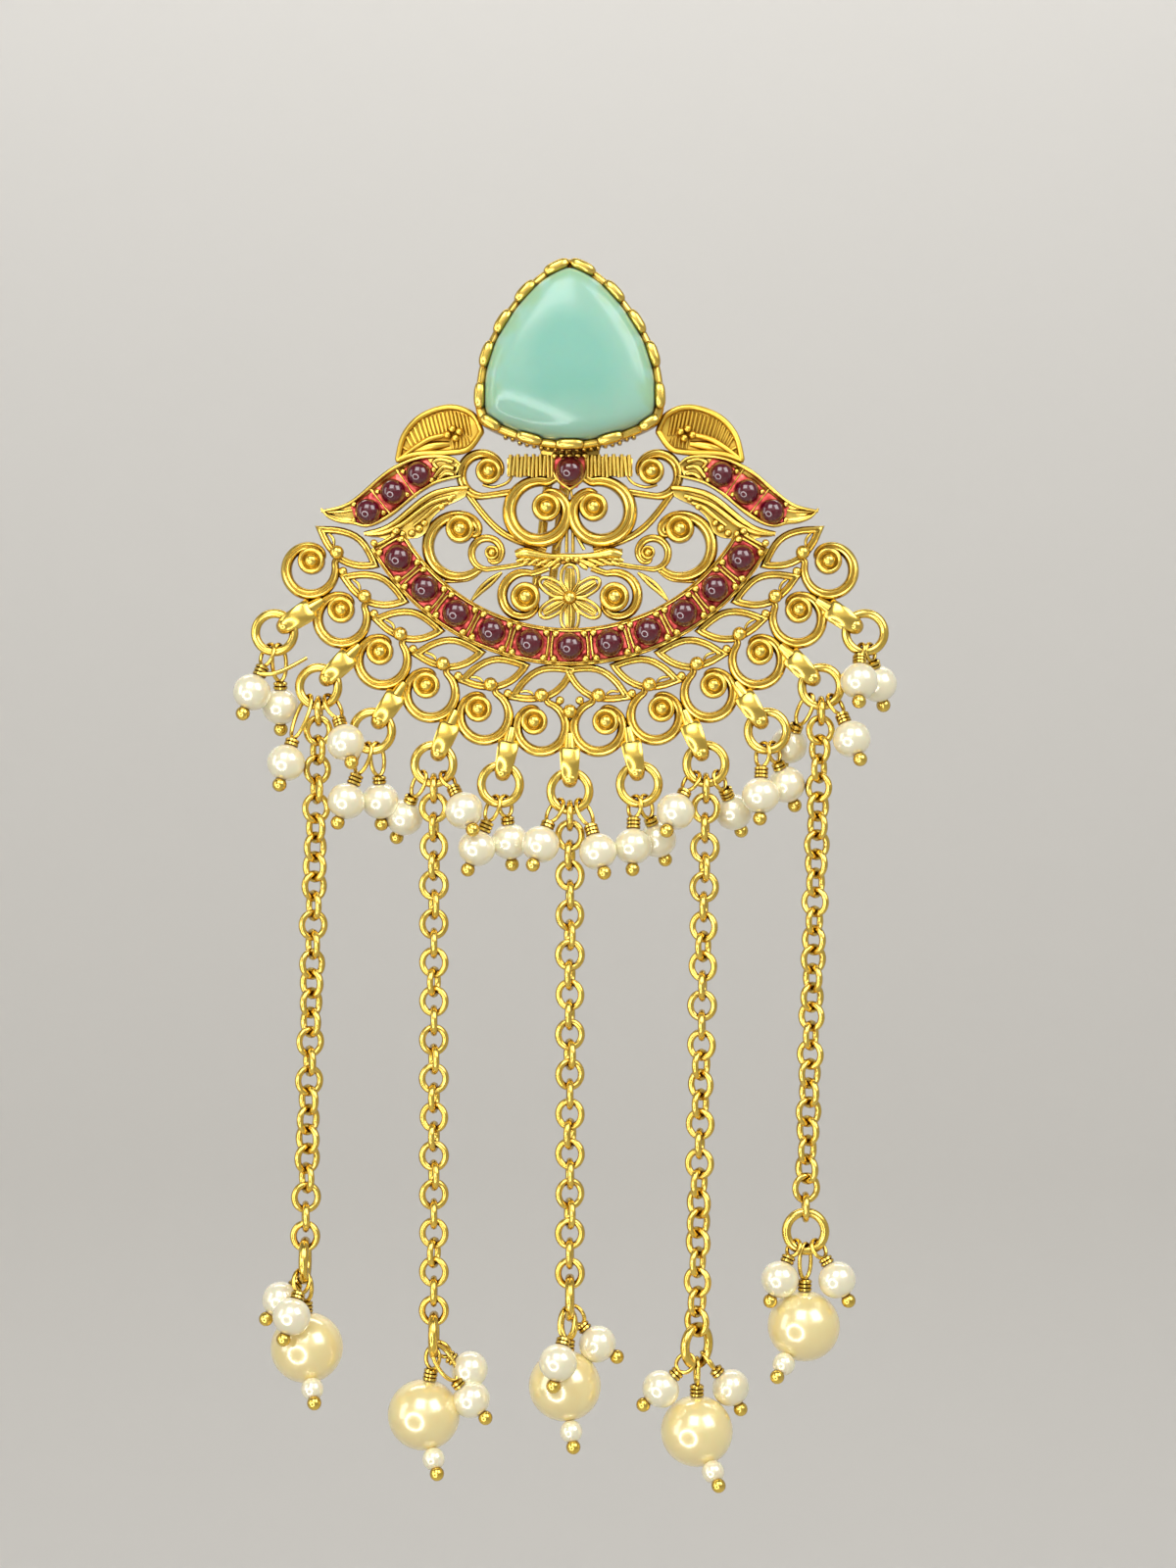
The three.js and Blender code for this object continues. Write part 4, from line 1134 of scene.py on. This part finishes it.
# Chains: round links threaded through each other, an end ring, and a cluster of pearls. A row gives
# the jump ring it hangs on, the end ring's height, sideways shift and turn, and the middle links'
# extra turn; then from the end ring to the large pearl, the way to its bead, and the two small
# pearls with their eye, place and the way to their ball.
chainTable = {"wide": 1.34, "tall": 1.46, "wire": 0.38, "pitch": 2.18, "sway": 16}
chainRows = [
    {"ring": 2, "end": -73.0, "shift": -1.5, "turn": 90, "skew": 38,
     "drop": (0.2, 0, -9.6), "bead": (0.18, -0.61, -0.77),
     "small": [(40, (-2.62, -0.5, -4.3), (-0.6, -0.3, -0.74)),
               (-50, (-1.05, -4.1, -5.4), (-0.32, -0.2, -0.93))]},
    {"ring": 4, "end": -81.2, "shift": 0, "turn": 90, "skew": 0,
     "drop": (-1.1, 0, -8.8), "bead": (0.24, -0.47, -0.85),
     "small": [(40, (3.9, 0.7, -4.0), (0.3, -0.3, -0.9)), (-40, (4.15, -0.5, -7.0), (0.6, -0.3, -0.7))]},
    {"ring": 6, "end": -77.1, "shift": 0, "turn": 90, "skew": 0,
     "drop": (-0.55, 0, -9.7), "bead": (0.14, -0.38, -0.91),
     "small": [(-50, (-1.25, -4.4, -6.25), (-0.2, -0.1, -0.97)),
               (40, (3.04, 0.44, -5.2), (0.84, -0.1, -0.53))]},
    {"ring": 8, "end": -82.4, "shift": -1.0, "turn": 50, "skew": 0,
     "drop": (0, 0, -9.4), "bead": (0.33, -0.58, -0.75),
     "small": [(-45, (-4.0, -1.2, -4.5), (-0.75, -0.1, -0.65)), (45, (3.8, 1.25, -4.9), (0.42, -0.1, -0.9))]},
    {"ring": 10, "end": -69.8, "shift": -1.7, "turn": 0, "skew": 45,
     "drop": (-0.2, 0, -10.4), "bead": (-0.47, -0.5, -0.73),
     "small": [(-40, (-2.9, -1.1, -5.1), (-0.42, -0.1, -0.9)),
               (40, (3.4, -0.85, -5.2), (0.48, -0.1, -0.87))]},
]


def linkTemplate():
    bm = bmesh.new()
    turns = [math.tau * i / 12 for i in range(12)]
    wide, tall, wire = chainTable["wide"], chainTable["tall"], chainTable["wire"] * 2
    sweepFlat(bm, [[(wide * math.sin(a), tall * math.cos(a), wire) for a in turns]], roundWire, closed=True)
    return asTemplate("link", bm)


def linkPlan(top, bottom, turn):
    # how many links fit, and how far the last must twist to hang square on the end ring
    best = None
    for count in (round((top - bottom) / chainTable["pitch"]) + d for d in (0, 1, -1)):
        twist = (turn - 90 * count + 90) % 180 - 90
        if best is None or abs(twist) < abs(best[1]) - 1:
            best = (count, twist)
    return best


link = linkTemplate()


def buildChain(number, row):
    reach = ringTable["radius"] + chainTable["tall"] - chainTable["wire"] - ringTable["wire"]
    x, z = ringSpot(row["ring"])
    top, bottom = z - reach, row["end"] + reach
    count, twist = linkPlan(top, bottom, row["turn"])
    stretch = Matrix.Diagonal((1, 1, (top - bottom) / count / chainTable["pitch"], 1))
    bm = bmesh.new()
    for i in range(count + 1):
        t = i / count
        ease = min(1.0, i / 3) * min(1.0, (count - i) / 3)
        sway = chainTable["sway"] * ease * math.sin(i * 0.9 + number)
        angle = math.radians(90 + 90 * i + twist * t + row["skew"] * ease + sway)
        spot = Matrix.Translation((x + row["shift"] * t, 0, top + (bottom - top) * t))
        stamp(bm, link, spot @ Matrix.Rotation(angle, 4, "Z") @ stretch)
    ringCentre = Vector((x + row["shift"], 0, row["end"]))
    stamp(bm, jumpRing, Matrix.Translation(ringCentre) @ Matrix.Rotation(math.radians(row["turn"]), 4, "Z"))
    addPiece(f"roloChain{number}", bm, [wireGold], [f"chain_{number}"])
    buildCluster(number, row, ringCentre)


def buildCluster(number, row, ringCentre):
    nodes = [f"pearl_cluster_{number}"]
    pins, drops, small = bmesh.new(), bmesh.new(), bmesh.new()
    addDangle(pins, drops, ringCentre + Vector(row["drop"]), ringCentre, 0, dangleTable["drop"], row["turn"],
              tip=row["bead"], beads=small)
    for eye, centre, tip in row["small"]:
        addDangle(pins, small, ringCentre + Vector(centre), ringCentre, eye, dangleTable["pearl"],
                  row["turn"], tip=tip, coils=2)
    addPiece(f"clusterPins{number}", pins, [wireGold], nodes)
    addPiece(f"dropPearl{number}", drops, [champagnePearl], nodes, sharp=80)
    addPiece(f"clusterPearls{number}", small, [whitePearl], nodes, sharp=80)


for number, row in enumerate(chainRows, start=1):
    buildChain(number, row)
print("chains and clusters done")

# Studio: a pale sweep all round, with its floor well below the lowest pearl.
studio = {"drop": 0.3, "wide": 0.8, "cove": 0.22, "height": 1.3, "paper": "#dad8d4",
          "air": "#e8e7e5", "sky": 0.26, "middle": (0, 0, -0.04)}
# A ring of small discs low on the left: its reflection is a thin circle of light on each pearl.
ringLight = {"count": 24, "centre": (-0.165, -0.292, -0.2), "across": (0.15, -0.08, 0), "up": (0, 0, 0.17),
             "disc": 0.056, "power": 0.045}


def buildStudio():
    low, wide, cove = cadBox[0].z - studio["drop"], studio["wide"], studio["cove"]
    bm = bmesh.new()
    turns = [math.pi / 2 * i / 12 for i in range(13)]
    bend = [(wide - cove + cove * math.sin(a), low + cove - cove * math.cos(a)) for a in turns]
    rows = [(0, low)] + bend + [(wide, low + studio["height"])]
    verts = [bm.verts.new((x, 0, z)) for x, z in rows]
    edges = [bm.edges.new(pair) for pair in zip(verts, verts[1:])]
    bmesh.ops.spin(bm, geom=verts + edges, cent=(0, 0, 0), axis=(0, 0, 1), angle=math.tau, steps=64,
                   use_merge=True)
    bmesh.ops.remove_doubles(bm, verts=bm.verts, dist=0.0005)
    bmesh.ops.recalc_face_normals(bm, faces=bm.faces)
    bmesh.ops.reverse_faces(bm, faces=bm.faces)
    mesh = asTemplate("cove", bm)
    mesh.shade_smooth()
    material, tree = newMaterial("paperCoveMatt")
    paper = linear(studio["paper"])
    shader = addNode(tree, "ShaderNodeBsdfPrincipled", {"Base Color": paper, "Roughness": 0.9})
    addNode(tree, "ShaderNodeOutputMaterial", {}, {"Surface": shader.outputs["BSDF"]})
    mesh.materials.append(material)
    sweep = bpy.data.objects.new("cove", mesh)
    scene.collection.objects.link(sweep)


def addLamp(name, size, power, spot, shape="RECTANGLE", target=studio["middle"], diffuse=True, glossy=True):
    lamp = bpy.data.lights.new(name, "AREA")
    lamp.shape = shape
    lamp.size, lamp.size_y = size
    lamp.energy = power
    thing = bpy.data.objects.new(name, lamp)
    thing.location = spot
    thing.rotation_euler = (Vector(target) - Vector(spot)).to_track_quat("-Z", "Y").to_euler()
    thing.visible_camera = False
    thing.visible_diffuse = diffuse
    thing.visible_glossy = glossy
    scene.collection.objects.link(thing)


buildStudio()
# two softboxes high left and right, a strip on the left and a fill in front
addLamp("softboxKey", (0.38, 0.42), 1.0, (-0.1, -0.42, 0.38))
addLamp("softboxRight", (0.36, 0.42), 0.92, (0.34, -0.3, 0.28))
addLamp("stripLeft", (0.16, 0.4), 0.5, (-0.46, -0.16, 0.04))
addLamp("fillFront", (0.8, 0.45), 0.6, (0, -0.66, 0.26))
# two window panes and the ring, which only show as highlights
addLamp("paneKey", (0.26, 0.3), 0.82, (-0.095, -0.4, 0.36), diffuse=False)
addLamp("paneRight", (0.26, 0.3), 0.82, (0.325, -0.285, 0.265), diffuse=False)
middle, across, up = [Vector(ringLight[key]) for key in ("centre", "across", "up")]
for i in range(ringLight["count"]):
    angle = math.tau * i / ringLight["count"]
    spot = middle + across * math.cos(angle) + up * math.sin(angle)
    addLamp(f"ringLight{i}", (ringLight["disc"], ringLight["disc"]), ringLight["power"], spot,
            shape="DISK", diffuse=False)
# a fill that leaves no highlight, and a wash on the paper behind
addLamp("fillSoft", (0.8, 0.45), 1.1, (0, -0.64, 0.25), glossy=False)
addLamp("wallWash", (0.9, 0.2), 3.1, (0, 0.4, 0.66), target=(0, 0.8, -0.05))

world = bpy.data.worlds.new("studioAir")
scene.world = world
world.use_nodes = True
air = world.node_tree.nodes["Background"].inputs
air["Color"].default_value = linear(studio["air"])
air["Strength"].default_value = studio["sky"]
scene.view_settings.view_transform = "Standard"

cameraTable = {"away": 0.303, "side": 0.002, "height": -0.0465, "lens": 63, "sensor": 36}
camera = bpy.data.objects.new("camera", bpy.data.cameras.new("camera"))
camera.data.lens = cameraTable["lens"]
camera.data.sensor_width = cameraTable["sensor"]
camera.location = (cameraTable["side"], -cameraTable["away"], cameraTable["height"])
camera.rotation_euler = (math.pi / 2, 0, 0)
scene.collection.objects.link(camera)
scene.camera = camera
print("studio ready")
